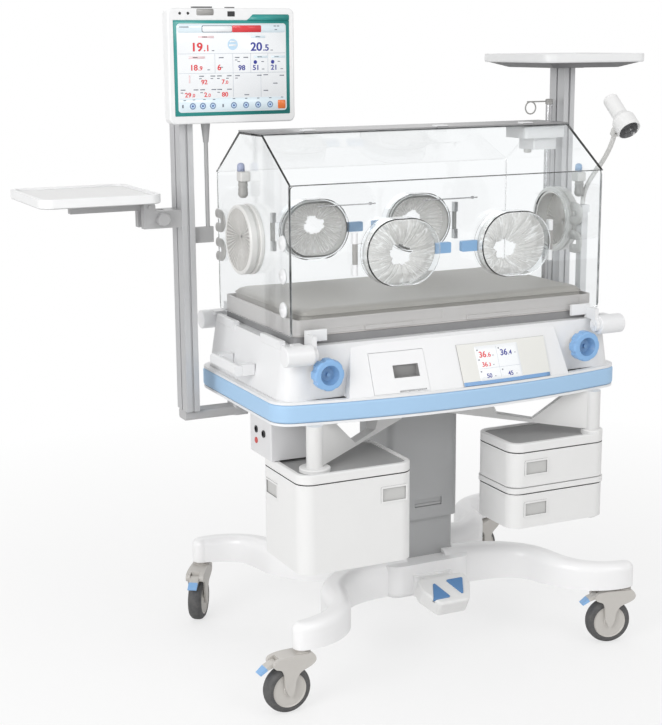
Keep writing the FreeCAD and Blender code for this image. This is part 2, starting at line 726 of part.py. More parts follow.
def deck_shell():
    base = d.deck_bottom + d.deck_edge_height
    wall = float(d.shell_wall)
    outer = shell_loft(0, base, d.shell_top).fuse(panel_loft(0, base, d.panel_top))
    inner = shell_loft(wall, base - 0.01, d.shell_top - d.shell_wall)
    inner = inner.fuse(panel_loft(wall, base - 0.01, d.panel_top - d.shell_wall))
    shell = outer.cut(inner)
    tank = Part.makeBox(float(d.tank_width) - 10, 200, float(d.tank_height) - 10,
                        vector(d.tank_left + 5, -d.panel_front - 78, d.tank_bottom + 5))
    seat = panel_slab((d.tank_left - 1, d.tank_left + d.tank_width + 1),
                      (d.tank_bottom - 1, d.tank_bottom + d.tank_height + 1), 5, 3)
    well = Part.makeBox(float(d.bed_width) - 40, float(d.bed_depth) - 40, 60,
                        vector(-d.bed_width / 2 + 20, -d.bed_depth / 2 + 20, d.shell_top - 50))
    shell = shell.cut([tank, seat, well])
    for side in (LEFT, RIGHT):
        hole = Part.makeCylinder(8 + float(d.pin_play), 80, vector(side * d.knob_offset, -d.shell_front - 50, d.knob_height),
                                 FreeCAD.Vector(0, 1, 0))
        shell = shell.cut(hole)
    node(feature(shell.removeSplitter()), "deck_shell")


def display_unit():
    right = d.display_left + d.display_width
    top = d.display_bottom + d.display_height
    plate = panel_slab((d.display_left, right), (d.display_bottom, top), float(d.bezel_proud), 0)
    node(feature(plate), "display_unit")


def water_tank():
    """A humidifier reservoir that slides out of the front panel."""
    right = d.tank_left + d.tank_width
    top = d.tank_bottom + d.tank_height
    front = panel_slab((d.tank_left, right), (d.tank_bottom, top), 1.5, 2.7)
    mid_x = d.tank_left + d.tank_width / 2
    face = -d.panel_front - 18
    front_wall = 8 - d.shell_front
    grip = Part.makeBox(72, 60, 31, vector(mid_x - 16, face, d.tank_bottom + 36))
    slot = Part.makeBox(76, 60, 4, vector(mid_x - 7, face, d.tank_bottom + 1.5))
    inside = block((d.tank_left + 8, right - 8), (front_wall, front_wall + d.tank_depth), (d.tank_bottom + 8, top - 8))
    hollow = block((d.tank_left + 11, right - 11), (front_wall + 3, front_wall + d.tank_depth - 3),
                   (d.tank_bottom + 11, top))
    bridge = panel_slab((d.tank_left + 6, right - 6), (d.tank_bottom + 6, top - 6), 0, 60)
    bridge = bridge.cut([grip])
    neck = Part.makeBox(float(d.tank_width) - 12, 70, float(d.tank_height) - 12,
                        vector(d.tank_left + 6, -d.panel_front - 8, d.tank_bottom + 6))
    skin = front.cut([grip, slot])
    pocket = bridge.common(neck)
    node(fuse(feature(skin), feature(pocket), cut(inside, hollow)), "water_tank")


def knob(side, label):
    """A lobed, dished handwheel that turns the bed-tilt screw."""
    radius = d.knob_diameter / 2
    front = 1 - d.shell_front - 12 - d.knob_depth
    x, z = side * d.knob_offset, d.knob_height
    wheel = rod("y", (x, front, z), radius, d.knob_depth)
    wheel = soften(wheel, 6, facing(front))
    bites = []
    count = int(float(d.knob_lobes))
    for i in range(count):
        angle = math.radians((i + 0.5) * 360 / count)
        reach = radius + 5.5
        bites.append(rod("y", (x + reach * math.cos(angle), front - 1, z + reach * math.sin(angle)),
                         radius * 0.22, d.knob_depth + 2))
    dish = doc.addObject("Part::Cone", "dish")
    bind(dish, "Radius1", radius * 0.62)
    bind(dish, "Radius2", radius * 0.40)
    bind(dish, "Height", 16)
    put(dish, x, front - 0.01, z, ALONG["y"])
    collar = rod("y", (x, front + d.knob_depth, z), radius * 0.72, 12)
    shaft = rod("y", (x, front + d.knob_depth + 12, z), 8, 34)
    boss = rod("y", (x, front + 9, z), 5, 7)
    node(fuse(cut(wheel, *bites, dish), collar, shaft, boss), label)


def sensor_module():
    """A probe module under the deck's left side: two sockets and a capped port."""
    left = -d.shell_width / 2
    case = block((left, left + 112), (-190, -52), (d.lid_top + 3, d.deck_bottom))
    case = soften(case, 4, upright)
    sockets, rims = [], []
    for y, z, proud in ((-96, 68, 2), (-146, 66, 3.2)):
        start = (left - proud, y, d.lid_top + z)
        rims.append(rod("x", start, 9.5, proud))
        sockets.append(rod("x", start, 6.5, 14))
    cap = rod("x", (left - 3, -96, d.lid_top + 38), 8, 3)
    cap = soften(cap, 1.5, lambda e: e.BoundBox.XLength < 0.01 and e.BoundBox.XMin < float(left) - 1)
    node(cut(fuse(case, cap, *rims), *sockets), "sensor_module")


def deck_fittings():
    """Grab handles on both sides and the barrels that carry the fold-down doors."""
    pieces = []
    for side in (LEFT, RIGHT):
        outer = d.shell_width / 2 + 50
        low, high = d.knob_height - 34, d.knob_height - 4
        bar = block(span(side, outer - 20, outer), (-80, 100), (low + 2, high))
        bar = soften(bar, 8, lambda e: e.BoundBox.YLength > 50)
        parts = [bar]
        for y in (-80, 70):
            stay = block(span(side, outer - 58, outer - 18), (y, y + 30), (low + 2, high))
            parts.append(soften(stay, 6, upright))
        wall = feature(shell_loft(-0.2, d.deck_bottom + d.deck_edge_height, d.shell_top))
        pieces.append(cut(fuse(*parts), wall))
        for end in (FRONT, REAR):
            start = side * d.barrel_offset - d.barrel_length / 2
            spot = (start, end * d.door_axis_front, d.door_axis_height)
            barrel = rod("x", spot, d.barrel_diameter / 2, d.barrel_length)
            barrel = soften(barrel, 3, lambda e: e.BoundBox.XLength < 0.01)
            tongue = block(span(side, d.barrel_offset - 20, d.barrel_offset + 6),
                           sorted_pair(end * (d.door_axis_front - 8), end * (d.shell_front - 14)),
                           (d.shell_top, d.door_axis_height + d.barrel_diameter / 2 - 1))
            pin = rod("x", (span(side, d.barrel_offset - d.barrel_length / 2 - 15, d.barrel_offset)[0],
                            end * d.door_axis_front, d.door_axis_height), 6, d.barrel_length / 2 + 15)
            pieces.append(fuse(barrel, tongue, pin))
            strap = block(span(side, d.hood_width / 2 + 2.5, d.hood_width / 2 + 19),
                          sorted_pair(end * (d.shell_front - 178), end * (d.shell_front - 55)),
                          (d.shell_top - 12, d.shell_top + 12))
            pieces.append(cut(soften(strap, 3, lambda e: e.BoundBox.YLength > 50), wall))
    node(fuse(*pieces), "deck_fittings")


def span(side, near, far):
    return (near, far) if side == RIGHT else (-far, -near)


def sorted_pair(first, second):
    return (first, second) if float(first) < float(second) else (second, first)


# Swing-out storage

def recess_pull(xs, face_y, zs):
    """A framed finger recess: returns what is cut away and the frame that is added."""
    low_x, high_x = xs
    low_z, high_z = zs
    hole = block((low_x, high_x), (face_y - 3, face_y + 2.2), (low_z, high_z))
    frame = block((low_x - 5, high_x + 5), (face_y - 1.5, face_y), (low_z - 5, high_z + 5))
    frame = soften(frame, 4, lambda e: e.BoundBox.YLength > 1 and e.BoundBox.XLength < 0.01)
    return hole, frame


def lid_plate(xs, ys, low, high, recess):
    lid = block(xs, ys, (low, high))
    lid = soften(lid, 38, upright)
    lid = soften(lid, 4, level_at(high))
    tray = block((xs[0] + 11, xs[1] - 11), (ys[0] + 11, ys[1] - 11), (high - recess, high + 1))
    return cut(lid, soften(tray, 28, upright))


def open_box(xs, ys, low, high, pin):
    """A folded container: open on top, with a tube for the pivot pin in one corner."""
    wall = d.box_wall
    case = soften(block(xs, ys, (low, high)), 38, upright)
    inner = block((xs[0] + wall, xs[1] - wall), (ys[0] + wall, ys[1] - wall), (low + wall, high + 1))
    inner = soften(inner, 35, upright)
    pin_radius = 12 + d.running_gap
    tube = rod("z", (*pin, low), 18, high - low)
    bore = rod("z", (*pin, low - 1), pin_radius, high - low + 2)
    return case, inner, tube, bore


def left_storage():
    west = -d.post_offset_side - d.box_side_margin
    south = -d.post_offset_front - d.box_front_margin
    xs = (west, west + d.box_width)
    ys = (south, south + d.box_depth)
    pin = (-d.post_offset_side, -d.post_offset_front)
    low = d.lid_top - d.lid_height
    lid = lid_plate(xs, ys, low, d.lid_top, 5)
    flange = soften(rod("z", (*pin, d.lid_top - 6), 40, 11), 3, level_at(d.lid_top + 5))
    shaft = rod("z", (*pin, d.box_bottom - 8), 12, d.lid_top - 8 - d.box_bottom + 8)
    foot = rod("z", (*pin, d.box_bottom - 8), 17, 7.5)
    node(fuse(lid, flange, shaft, foot), "left_lid")

    high = low - d.lid_gap
    case, inner, tube, bore = open_box(xs, ys, d.box_bottom, high, pin)
    right = xs[1] - 27
    hole, frame = recess_pull((right - d.pull_width, right), ys[0], (high - 68, high - 68 + d.pull_height))
    hollow_back = block((right - d.pull_width - 3, right + 3), (ys[0] + 0.5, ys[0] + 5), (high - 71, high - 31))
    back = ys[1] - 40
    side_frame = block((xs[0] - 1.5, xs[0]), (back - d.pull_width - 5, back + 5), (high - 73, high - 29))
    side_hole = block((xs[0] - 3, xs[0] + 2.2), (back - d.pull_width, back), (high - 68, high - 34))
    side_back = block((xs[0] + 0.5, xs[0] + 5), (back - d.pull_width - 3, back + 3), (high - 71, high - 31))
    body = fuse(cut(case, inner), tube, frame, side_frame, hollow_back, side_back)
    node(cut(body, bore, hole, side_hole), "left_box")


def right_storage():
    east = d.post_offset_side + d.cabinet_side_margin
    south = -d.post_offset_front - d.cabinet_front_margin
    xs = (east - d.cabinet_width, east)
    ys = (south, south + d.cabinet_depth)
    pin = (d.post_offset_side, -d.post_offset_front)
    lid_low = d.cabinet_top - d.lid_height
    upper_high = lid_low - d.lid_gap
    upper_low = upper_high - d.drawer_height
    mid_high = upper_low - d.lid_gap
    mid_low = mid_high - d.mid_plate_height
    lower_high = mid_low - d.lid_gap
    lower_low = lower_high - d.drawer_height
    lid = lid_plate(xs, ys, lid_low, d.cabinet_top, 5)
    middle = soften(block(xs, ys, (mid_low, mid_high)), 30, upright)
    flange = soften(rod("z", (*pin, d.cabinet_top - 6), 30, 14), 3, level_at(d.cabinet_top + 8))
    shaft = rod("z", (*pin, lower_low - 8), 12, d.cabinet_top - lower_low)
    foot = rod("z", (*pin, lower_low - 8), 17, 7.5)
    node(fuse(lid, middle, flange, shaft, foot), "right_lid")
    for label, low, high in (("right_upper_drawer", upper_low, upper_high),
                             ("right_lower_drawer", lower_low, lower_high)):
        case, inner, tube, bore = open_box(xs, ys, low, high, pin)
        left = xs[0] + 44
        hole, frame = recess_pull((left, left + d.pull_width), ys[0], (high - 60, high - 60 + d.pull_height))
        backing = block((left - 3, left + d.pull_width + 3), (ys[0] + 0.5, ys[0] + 5), (high - 63, high - 23))
        node(cut(fuse(cut(case, inner), tube, frame, backing), bore, hole), label)


# Bed and warm-air parts

def air_deck():
    half_x, half_y = d.bed_width / 2 + 4, d.bed_depth / 2 + 3
    low, high = d.shell_top + d.bed_gap, d.shell_top + d.air_deck_height
    plate = soften(block((-half_x, half_x), (-half_y, half_y), (low, high)), 16, upright)
    pocket = block((-half_x + 30, half_x - 30), (-half_y + 30, half_y - 30), (low - 1, high - 5))
    inlet = rod("z", (d.fan_x, d.fan_y, low - 1), d.fan_diameter / 2 - 10, 60)
    vents = []
    for i in range(12):
        x = -half_x + 60 + i * (half_x - 60) * 2 / 11
        for y in (-half_y + 12, half_y - 20):
            vents.append(block((x - 22, x + 22), (y, y + 8), (high - 12, high + 1)))
    node(cut(plate, pocket, inlet, *vents), "air_deck")


def mattress_tray():
    half_x, half_y = d.bed_width / 2, d.bed_depth / 2
    low = d.shell_top + d.air_deck_height + d.bed_gap
    high = low + d.tray_height
    wall = d.tray_wall
    tub = soften(block((-half_x, half_x), (-half_y, half_y), (low, high)), 14, upright)
    hollow = block((-half_x + wall, half_x - wall), (-half_y + wall, half_y - wall), (low + wall, high + 1))
    hollow = soften(hollow, 10, upright)
    insets = []
    for x in (-half_x * 0.482, half_x * 0.482):
        reach = half_x * 0.426
        insets.append(block((x - reach, x + reach), (-half_y - 1, -half_y + 1.2), (low + 16, high - 6)))
    lips = []
    for x in (-185, 115):
        lip = block((x - 68, x + 68), (-half_y - 3.5, -half_y + 0.01), (low + 4, low + 15))
        lips.append(soften(lip, 1.5, lambda e: e.BoundBox.XLength > 50))
    node(fuse(cut(tub, hollow, *insets), *lips), "mattress_tray")


def bed_platform():
    inset = d.tray_wall + 4
    half_x, half_y = d.bed_width / 2 - inset, d.bed_depth / 2 - inset
    low = d.shell_top + d.air_deck_height + d.bed_gap * 2 + d.tray_wall
    plate = soften(block((-half_x, half_x), (-half_y, half_y), (low, low + d.platform_height)), 8, upright)
    slots = []
    for i in range(-4, 5):
        x = half_x * 0.205 * i
        slots.append(block((x - 20, x + 20), (-half_y * 0.53, half_y * 0.53), (low - 1, low + d.platform_height + 1)))
    node(cut(plate, *slots), "bed_platform")


def mattress():
    inset = d.tray_wall + 14
    half_x, half_y = d.bed_width / 2 - inset, d.bed_depth / 2 - d.tray_wall - 5
    low = d.shell_top + d.air_deck_height + d.bed_gap * 3 + d.tray_wall + d.platform_height
    pad = soften(block((-half_x, half_x), (-half_y, half_y), (low, low + d.mattress_height)), 24, upright)
    node(soften(pad, 10, level_at(low + d.mattress_height)), "mattress")


def warm_air_parts():
    floor = d.deck_bottom + d.pan_wall
    x, y = d.fan_x, d.fan_y
    case = soften(rod("z", (x, y, floor), 44, 80), 6, level_at(floor + 80))
    spindle = rod("z", (x, y, floor + 80), 5, 74)
    fins = []
    for i in range(7):
        fins.append(block((x + 100 + i * 16, x + 103 + i * 16), (y - 55, y + 55), (floor + 12, floor + 92)))
    base = block((x - 48, x + 206), (y - 60, y + 60), (floor, floor + 12.01))
    node(fuse(case, spindle, base, *fins), "air_heater")
    low = floor + 104
    radius = d.fan_diameter / 2 - 2
    hub = rod("z", (x, y, low), 17, 40)
    disc = rod("z", (x, y, low), radius, 3)
    blades = []
    count = int(float(d.fan_blades))
    for i in range(count):
        angle = i * 360 / count
        blade = block((14, radius - 2), (-1.5, 1.5), (low, low + 36))
        turn = FreeCAD.Rotation(FreeCAD.Vector(0, 0, 1), angle)
        put(blade, x + 14 * math.cos(math.radians(angle)) + 1.5 * math.sin(math.radians(angle)),
            y + 14 * math.sin(math.radians(angle)) - 1.5 * math.cos(math.radians(angle)), low, turn)
        blades.append(blade)
    bore = rod("z", (x, y, low - 1), 5 + d.pin_play, 60)
    node(cut(fuse(hub, disc, *blades), bore), "fan_impeller")


# Hood

def hood_section(inset, low):
    """The hood's end-on outline: upright walls, two slopes and a flat top."""
    half = d.hood_depth / 2 - inset
    flat = d.hood_flat / 2 - inset * 0.35
    shoulder = d.shoulder_height - inset * 0.30
    top = d.hood_top - inset
    return [(-half, low), (-half, shoulder), (-flat, top), (flat, top), (half, shoulder), (half, low)]


def hood():
    half_x = d.hood_width / 2
    sheet_wall = d.acrylic
    outer = padded_profile("YZ_Plane", hood_section(length(0), d.hood_bottom), d.hood_width, (-half_x, 0, 0))
    inner = padded_profile("YZ_Plane", hood_section(sheet_wall, d.hood_bottom - 1),
                           d.hood_width - sheet_wall * 2, (-half_x + sheet_wall, 0, 0))
    cuts = [inner]
    for end in (FRONT, REAR):
        near, far = d.hood_depth / 2 - sheet_wall - d.running_gap * 2, d.hood_depth / 2 + 1
        cuts.append(block((-half_x - 1, half_x + 1), sorted_pair(end * near, end * far),
                          (d.hood_bottom - 1, d.shoulder_height - 2)))
    bores = []
    for side in (LEFT, RIGHT):
        start = side * (half_x - sheet_wall / 2) - 10
        bores.append(rod("x", (start, 0, d.port_height + 20), d.iris_radius, 20))
    node(cut(outer, *cuts, *bores), "hood")


def top_strip():
    half_x, flat = d.hood_width / 2 + 1, d.hood_flat / 2 + 1
    low = d.hood_top + d.bed_gap
    plate = block((-half_x, half_x), (-flat, flat), (low, low + d.top_strip))
    plate = soften(plate, 1.5, level_at(low + d.top_strip))
    clips = []
    for x in (-330, 60, 330):
        clip = block((x - 16, x + 16), (-flat - 3, -flat + 26), (low, low + d.top_strip + 4))
        clips.append(soften(clip, 2, level_at(low + d.top_strip + 4)))
    node(fuse(plate, *clips), "top_strip")


def fold_down_door(end, label):
    """One long wall of the hood with two arm ports. It folds down about its corner barrels."""
    half_x = d.hood_width / 2 - 2
    face = d.hood_depth / 2
    low, high = d.hood_bottom + 2.5, d.shoulder_height - 2.5
    ys = sorted_pair(end * (face - d.acrylic), end * face)
    panel = block((-half_x, half_x), ys, (low, high))
    panel = soften(panel, 12, lambda e: e.BoundBox.YLength > 1 and e.BoundBox.XLength < 0.01)
    holes, rings, hinges = [], [], []
    for side in (LEFT, RIGHT):
        x, z = side * d.port_offset, d.port_height
        outer = d.port_radius + d.collar_wall
        holes.append(feature(stadium(d.port_radius, d.port_stretch, end * (face - 20), end * (face + 40), x, z)))
        rings.append(feature(stadium(outer, d.port_stretch, end * face, end * (face + d.collar_length), x, z)))
        hinges += port_hinge(side, end)
    leaves = []
    for side in (LEFT, RIGHT):
        leaves += door_leaf(side, end)
    extras = []
    if end == REAR:
        for x in (-75, 265):
            extras += grab_rod(x)
    plate = cut(fuse(panel, *rings), *holes)
    node(fuse(plate, *hinges, *leaves, *extras), label)


def port_hinge(side, end):
    """Two fixed knuckles and the pin that an arm-port door turns on."""
    x = side * (d.port_offset + 124)
    y = end * (d.hood_depth / 2 + d.port_pin_stand)
    pieces = []
    for low in (-54, 26):
        z = d.port_height + low
        pieces.append(rod("z", (x, y, z), 7, 28))
        pieces.append(block((x - 6, x + 6), sorted_pair(end * d.hood_depth / 2, end * (d.hood_depth / 2 + 12)),
                            (z, z + 28)))
    pieces.append(rod("z", (x, y, d.port_height - 54), 3, 108))
    return pieces


def door_leaf(side, end):
    """The white leaf that carries the door on its corner barrel."""
    near = d.barrel_offset - d.barrel_length / 2 - d.running_gap - 11
    xs = span(side, near, near + 11)
    start = side * near if side == RIGHT else side * near - 11
    eye = rod("x", (start, end * d.door_axis_front, d.door_axis_height), 17, 11)
    top = d.hood_bottom + 16
    arm_y = sorted_pair(end * (d.hood_depth / 2), end * (d.door_axis_front + 6))
    arm = block(xs, arm_y, (d.shell_top + 1, top - 8))
    drop_y = sorted_pair(end * (d.door_axis_front - 12), end * (d.door_axis_front + 6))
    drop = block(xs, drop_y, (d.door_axis_height, top - 8))
    bore = rod("x", (start - 1, end * d.door_axis_front, d.door_axis_height), 6 + d.pin_play, 13)
    foot = block(span(side, near - 48, near + 11),
                 sorted_pair(end * d.hood_depth / 2, end * (d.hood_depth / 2 + 9)),
                 (d.hood_bottom - 14, top))
    return [cut(fuse(eye, arm, drop), bore), soften(foot, 2, lambda e: e.BoundBox.XLength > 30)]


def grab_rod(x):
    y = d.hood_depth / 2 - d.acrylic - 6
    z = d.port_height + 66
    bar = rod("x", (x - 92, y, z), 2, 184)
    stays = [block((x + shift, x + shift + 6), (y, y + 7), (z - 4, z + 4)) for shift in (-80, 74)]
    return [bar, *stays]


def port_door(side, end, label):
    """A clear dished cover, hinged on the outside and latched towards the middle."""
    x, z = side * d.port_offset, d.port_height
    face = d.hood_depth / 2
    inner = d.port_radius + d.collar_wall + 4
    outer = inner + 3
    near = end * (face + d.running_gap)
    far = end * (face + d.port_door_depth)
    dish = stadium(outer, d.port_stretch, near, far, x, z)
    hollow = stadium(inner, d.port_stretch, near - end * 1, far - end * 3, x, z)
    cover = soften(feature(dish), 6, facing(far))
    cover = cut(cover, feature(hollow))
    pin_x = side * (d.port_offset + 124)
    pin_y = end * (face + d.port_pin_stand)
    knuckle = rod("z", (pin_x, pin_y, z - 25.5), 7, 51)
    reach = d.port_offset + d.port_stretch / 2 + outer - 4
    strap = block(span(side, reach, d.port_offset + 124), sorted_pair(end * (face + d.port_pin_stand - 4), end * (face + d.port_pin_stand + 4)),
                  (z - 25.5, z + 25.5))
    bore = rod("z", (pin_x, pin_y, z - 30), 3 + d.pin_play, 60)
    inner_edge = d.port_offset - d.port_stretch / 2 - outer
    latch = block(span(side, inner_edge - 46, inner_edge + 4), sorted_pair(end * (face + 4), end * (face + 17)),
                  (z - 14, z + 14))
    latch = soften(latch, 4, lambda e: e.BoundBox.YLength > 5 and e.BoundBox.XLength < 0.01)
    latch = cut(latch, feature(hollow))
    node(fuse(cover, cut(fuse(knuckle, strap), bore, feature(hollow)), latch), label)


def cuffs(end, label):
    """Gathered film sleeves stretched over the collars, each with a small opening."""
    face = d.hood_depth / 2
    pieces = []
    for side in (LEFT, RIGHT):
        x, z = side * d.port_offset, d.port_height
        near = end * (face + d.collar_length + d.running_gap)
        disc = stadium(d.port_radius + d.collar_wall - 0.5, d.port_stretch, near, near + end * 9, x, z)
        hole = stadium(22, 8, near - end * 1, near + end * 10, x, z)
        pieces.append(feature(disc.cut(hole)))
    node(fuse(*pieces), label)


def end_irises():
    """Round tube ports with pleated film on both ends, with the small end fittings."""
    pieces = []
    z = d.port_height + 20
    for side in (LEFT, RIGHT):
        start = d.hood_width / 2
        outer = d.iris_radius + d.iris_ring
        low = start if side == RIGHT else -start - d.iris_length
        ring = rod("x", (low, 0, z), outer, d.iris_length)
        bore = rod("x", (low - 1, 0, z), d.iris_radius, d.iris_length + 2)
        groove_low = start + 12 if side == RIGHT else -start - 18
        groove = cut(rod("x", (groove_low, 0, z), outer + 1, 6), rod("x", (groove_low, 0, z), outer - 4, 6))
        film_low = start + d.iris_length - 9 if side == RIGHT else -start - d.iris_length + 6
        film = cut(rod("x", (film_low, 0, z), d.iris_radius + 2, 3), rod("x", (film_low - 1, 0, z), 5, 6))
        pieces.append(fuse(cut(ring, bore, groove), film))
        for height in (-46, 34):
            lug = block(span(side, start, start + 16), (d.iris_radius + 6, d.iris_radius + 42), (z + height, z + height + 14))
            pieces.append(soften(lug, 5, lambda e: e.BoundBox.XLength > 5 and e.BoundBox.YLength < 0.01))
        clamp_y = 62 if side == LEFT else -132
        clamp_x = side * (start + 11)
        stem = rod("z", (clamp_x, clamp_y, d.shoulder_height - 62), 8, 46)
        grip = rod("z", (clamp_x, clamp_y, d.shoulder_height - 16), 10.5, 18)
        tip = soften(rod("z", (clamp_x, clamp_y, d.shoulder_height + 2), 7.5, 24), 7,
                     level_at(d.shoulder_height + 26))
        foot = block(span(side, start, start + 10), (clamp_y - 9, clamp_y + 9),
                     (d.shoulder_height - 56, d.shoulder_height - 14))
        pieces.append(fuse(stem, grip, tip, foot))
    for rise in (232, 149, 64):
        disc = rod("x", (-d.hood_width / 2 - 9, 40 - d.hood_depth / 2, d.hood_bottom + rise), 20, 9)
        pieces.append(soften(disc, 3, lambda e: e.BoundBox.XLength < 0.01))
    node(fuse(*pieces), "end_irises")


def air_module():
    """The temperature and humidity head under the hood's top right."""
    right = d.hood_width / 2 - d.acrylic
    top = d.hood_top - d.acrylic
    shelf = block((right - 126, right), (-62, 48), (top - 34, top - 2))
    shelf = soften(shelf, 12, lambda e: upright(e) and e.BoundBox.XMin < float(right) - 50)
    lower = block((right - 90, right - 14), (-48, 30), (top - 66, top - 34))
    lower = soften(lower, 5, upright)
    dome = soften(rod("z", (right - 84, -8, top - 76), 11, 10), 4, level_at(top - 76))
    hanger = block((right - 60, right - 40), (-20, 10), (top - 2.01, top))
    node(fuse(shelf, lower, dome, hanger), "air_module")


# Masts and what they carry

def mast_outline():
    """Half-slotted extrusion: a T-slot on each face and a hollow core."""
    w, s = d.mast_width / 2, d.mast_depth / 2
    lip, slot = 3.5, 6
    return [
        (-w, -s), (-lip, -s), (-lip, slot - s), (lip, slot - s), (lip, -s), (w, -s),
        (w, -lip), (w - slot, -lip), (w - slot, lip), (w, lip), (w, s),
        (lip, s), (lip, s - slot), (-lip, s - slot), (-lip, s), (-w, s),
        (-w, lip), (slot - w, lip), (slot - w, -lip), (-w, -lip),
    ]


def masts():
    pieces = []
    y = d.mast_front + d.mast_depth / 2
    for side in (LEFT, RIGHT):
        x = side * (d.mast_inner + d.mast_width / 2)
        bar = padded_profile("XY_Plane", mast_outline(), d.mast_top - d.mast_bottom, (x, y, d.mast_bottom))
        for core_y in (-d.mast_depth / 4 - 1, d.mast_depth / 4 + 1):
            core = block((x - 8, x + 8), (y + core_y - 9, y + core_y + 9), (d.mast_bottom - 1, d.mast_top + 1))
            bar = cut(bar, core)
        cap_top = d.mast_bottom - 0.01
        far = d.mast_inner + d.mast_width
        foot = block(span(side, 440, far), (y - 28, y + 28), (cap_top - 26, cap_top))
        riser = block(span(side, 430, 474), (y - 28, y + 28), (cap_top - 26, d.deck_bottom))
        knee = soften(foot, 8, lambda e: e.BoundBox.XLength > 30)
        pieces.append(fuse(bar, knee, soften(riser, 8, upright)))
    for low in (d.deck_bottom + 64, d.hood_bottom + 124):
        clamp = block((d.pole_x - 14, d.mast_inner - 0.01), (d.pole_y - 13, d.pole_y + 13), (low, low + 32))
        pieces.append(clamp)
    radius = d.pole_diameter / 2
    foot = d.deck_bottom + 44
    tube = rod("z", (d.pole_x, d.pole_y, foot), radius + d.running_gap + d.pole_tube_wall, d.pole_top - foot - 12)
    bore = rod("z", (d.pole_x, d.pole_y, foot + 10), radius + d.running_gap, d.pole_top)
    whole = fuse(*pieces, tube)
    node(cut(whole, bore), "masts")


def iv_pole():
    """A hook pole that slides up out of its tube."""
    radius = d.pole_diameter / 2
    low = d.deck_bottom + 60
    shaft = rod("z", (d.pole_x, d.pole_y, low), radius, d.pole_top - low)
    cap = soften(rod("z", (d.pole_x, d.pole_y, d.pole_top - 11), radius + 3.5, 15), 3,
                 level_at(d.pole_top + 4))
    arm = rod("x", (d.pole_x - 76, d.pole_y, d.pole_top - 3), 2, 72)
    ring = doc.addObject("Part::Torus", "ring")
    bind(ring, "Radius1", 17.5)
    bind(ring, "Radius2", 2)
    put(ring, d.pole_x - 64, d.pole_y, d.pole_top - 3 - 17.5, ALONG["y"])
    node(fuse(shaft, cap, arm, ring), "iv_pole")


def tray_shape(xs, ys, top):
    """A rounded instrument tray with a raised rim."""
    low = top - d.shelf_rim
    slab = soften(block(xs, ys, (low, top)), d.shelf_corner, upright)
    slab = soften(slab, 5, level_at(low))
    floor = block((xs[0] + 12, xs[1] - 12), (ys[0] + 12, ys[1] - 12), (top - 5, top + 1))
    return cut(slab, soften(floor, d.shelf_corner - 12, upright))


def shelf_depth_range(depth, shift):
    middle = d.mast_front + d.mast_depth / 2 + shift
    return (middle - depth / 2, middle + depth / 2)


def side_shelf():
    xs = (-d.side_shelf_reach, -d.side_shelf_reach + d.side_shelf_width)
    plate = tray_shape(xs, shelf_depth_range(d.side_shelf_depth, d.side_shelf_shift), d.side_shelf_top)
    y = d.mast_front + d.mast_depth / 2
    low = d.side_shelf_top - d.shelf_rim
    x, z = -d.shelf_pivot_x, d.shelf_pivot_height
    bar = block((x - 204, x), (y - 12, y + 12), (z - 10, low + 0.01))
    barrel = rod("y", (x, y - 12, z), 12, 24)
    bore = rod("y", (x, y - 20, z), 5 + d.pin_play, 40)
    node(cut(fuse(plate, bar, barrel), bore), "side_shelf")


def shelf_bracket():
    """A fork on the left mast with its clamp knob."""
    y = d.mast_front + d.mast_depth / 2
    x, z = -d.shelf_pivot_x, d.shelf_pivot_height
    pieces = []
    for side in (-1, 1):
        inner = 12 + d.running_gap
        ys = (y + inner, y + 36) if side == 1 else (y - 36, y - inner)
        cheek = block((x - 16, -d.mast_inner - d.mast_width), ys, (z - 57, z - 12))
        ear = rod("y", (x, ys[0], z), 16, 36 - inner)
        tie = block((x - 16, x + 16), ys, (z - 20, z))
        pieces += [cheek, ear, tie]
    web = block((x + 50, -d.mast_inner - d.mast_width), (y - 36, y + 36), (z - 57, z - 12))
    pin = rod("y", (x, y - 40, z), 5, 80)
    screw = rod("y", (x + 34, y - 56, z - 33), 17, 20.01)
    screw = soften(screw, 3, facing(y - 56))
    return fuse(*pieces, web, pin, screw)


def top_shelf():
    middle = d.mast_inner + d.mast_width / 2
    xs = (middle - d.top_shelf_width / 2, middle + d.top_shelf_width / 2)
    top = d.mast_top + 17 + d.shelf_rim
    y = d.mast_front + d.mast_depth / 2
    plate = tray_shape(xs, shelf_depth_range(d.top_shelf_depth, 0), top)
    slices = []
    for inset, z in ((62, d.mast_top + 2), (18, d.mast_top + 17.01)):
        reach_x, reach_y = d.top_shelf_width / 2 - inset, d.top_shelf_depth / 2 - inset
        corners = [vector(middle + a * reach_x, y + b * reach_y, z) for a, b in ((-1, -1), (1, -1), (1, 1), (-1, 1))]
        slices.append(Part.makePolygon(corners + corners[:1]))
    pan = feature(Part.makeLoft(slices, True, True))
    bites = []
    for i in range(6):
        x = middle - 109 + i * 38
        bites.append(block((x, x + 28), (y - 108, y + 108), (d.mast_top + 1, d.mast_top + 12)))
    seat = block((middle - 40, middle + 40), (y - 55, y + 55), (d.mast_top, d.mast_top + 14))
    node(fuse(plate, cut(pan, *bites), soften(seat, 10, upright)), "top_shelf")


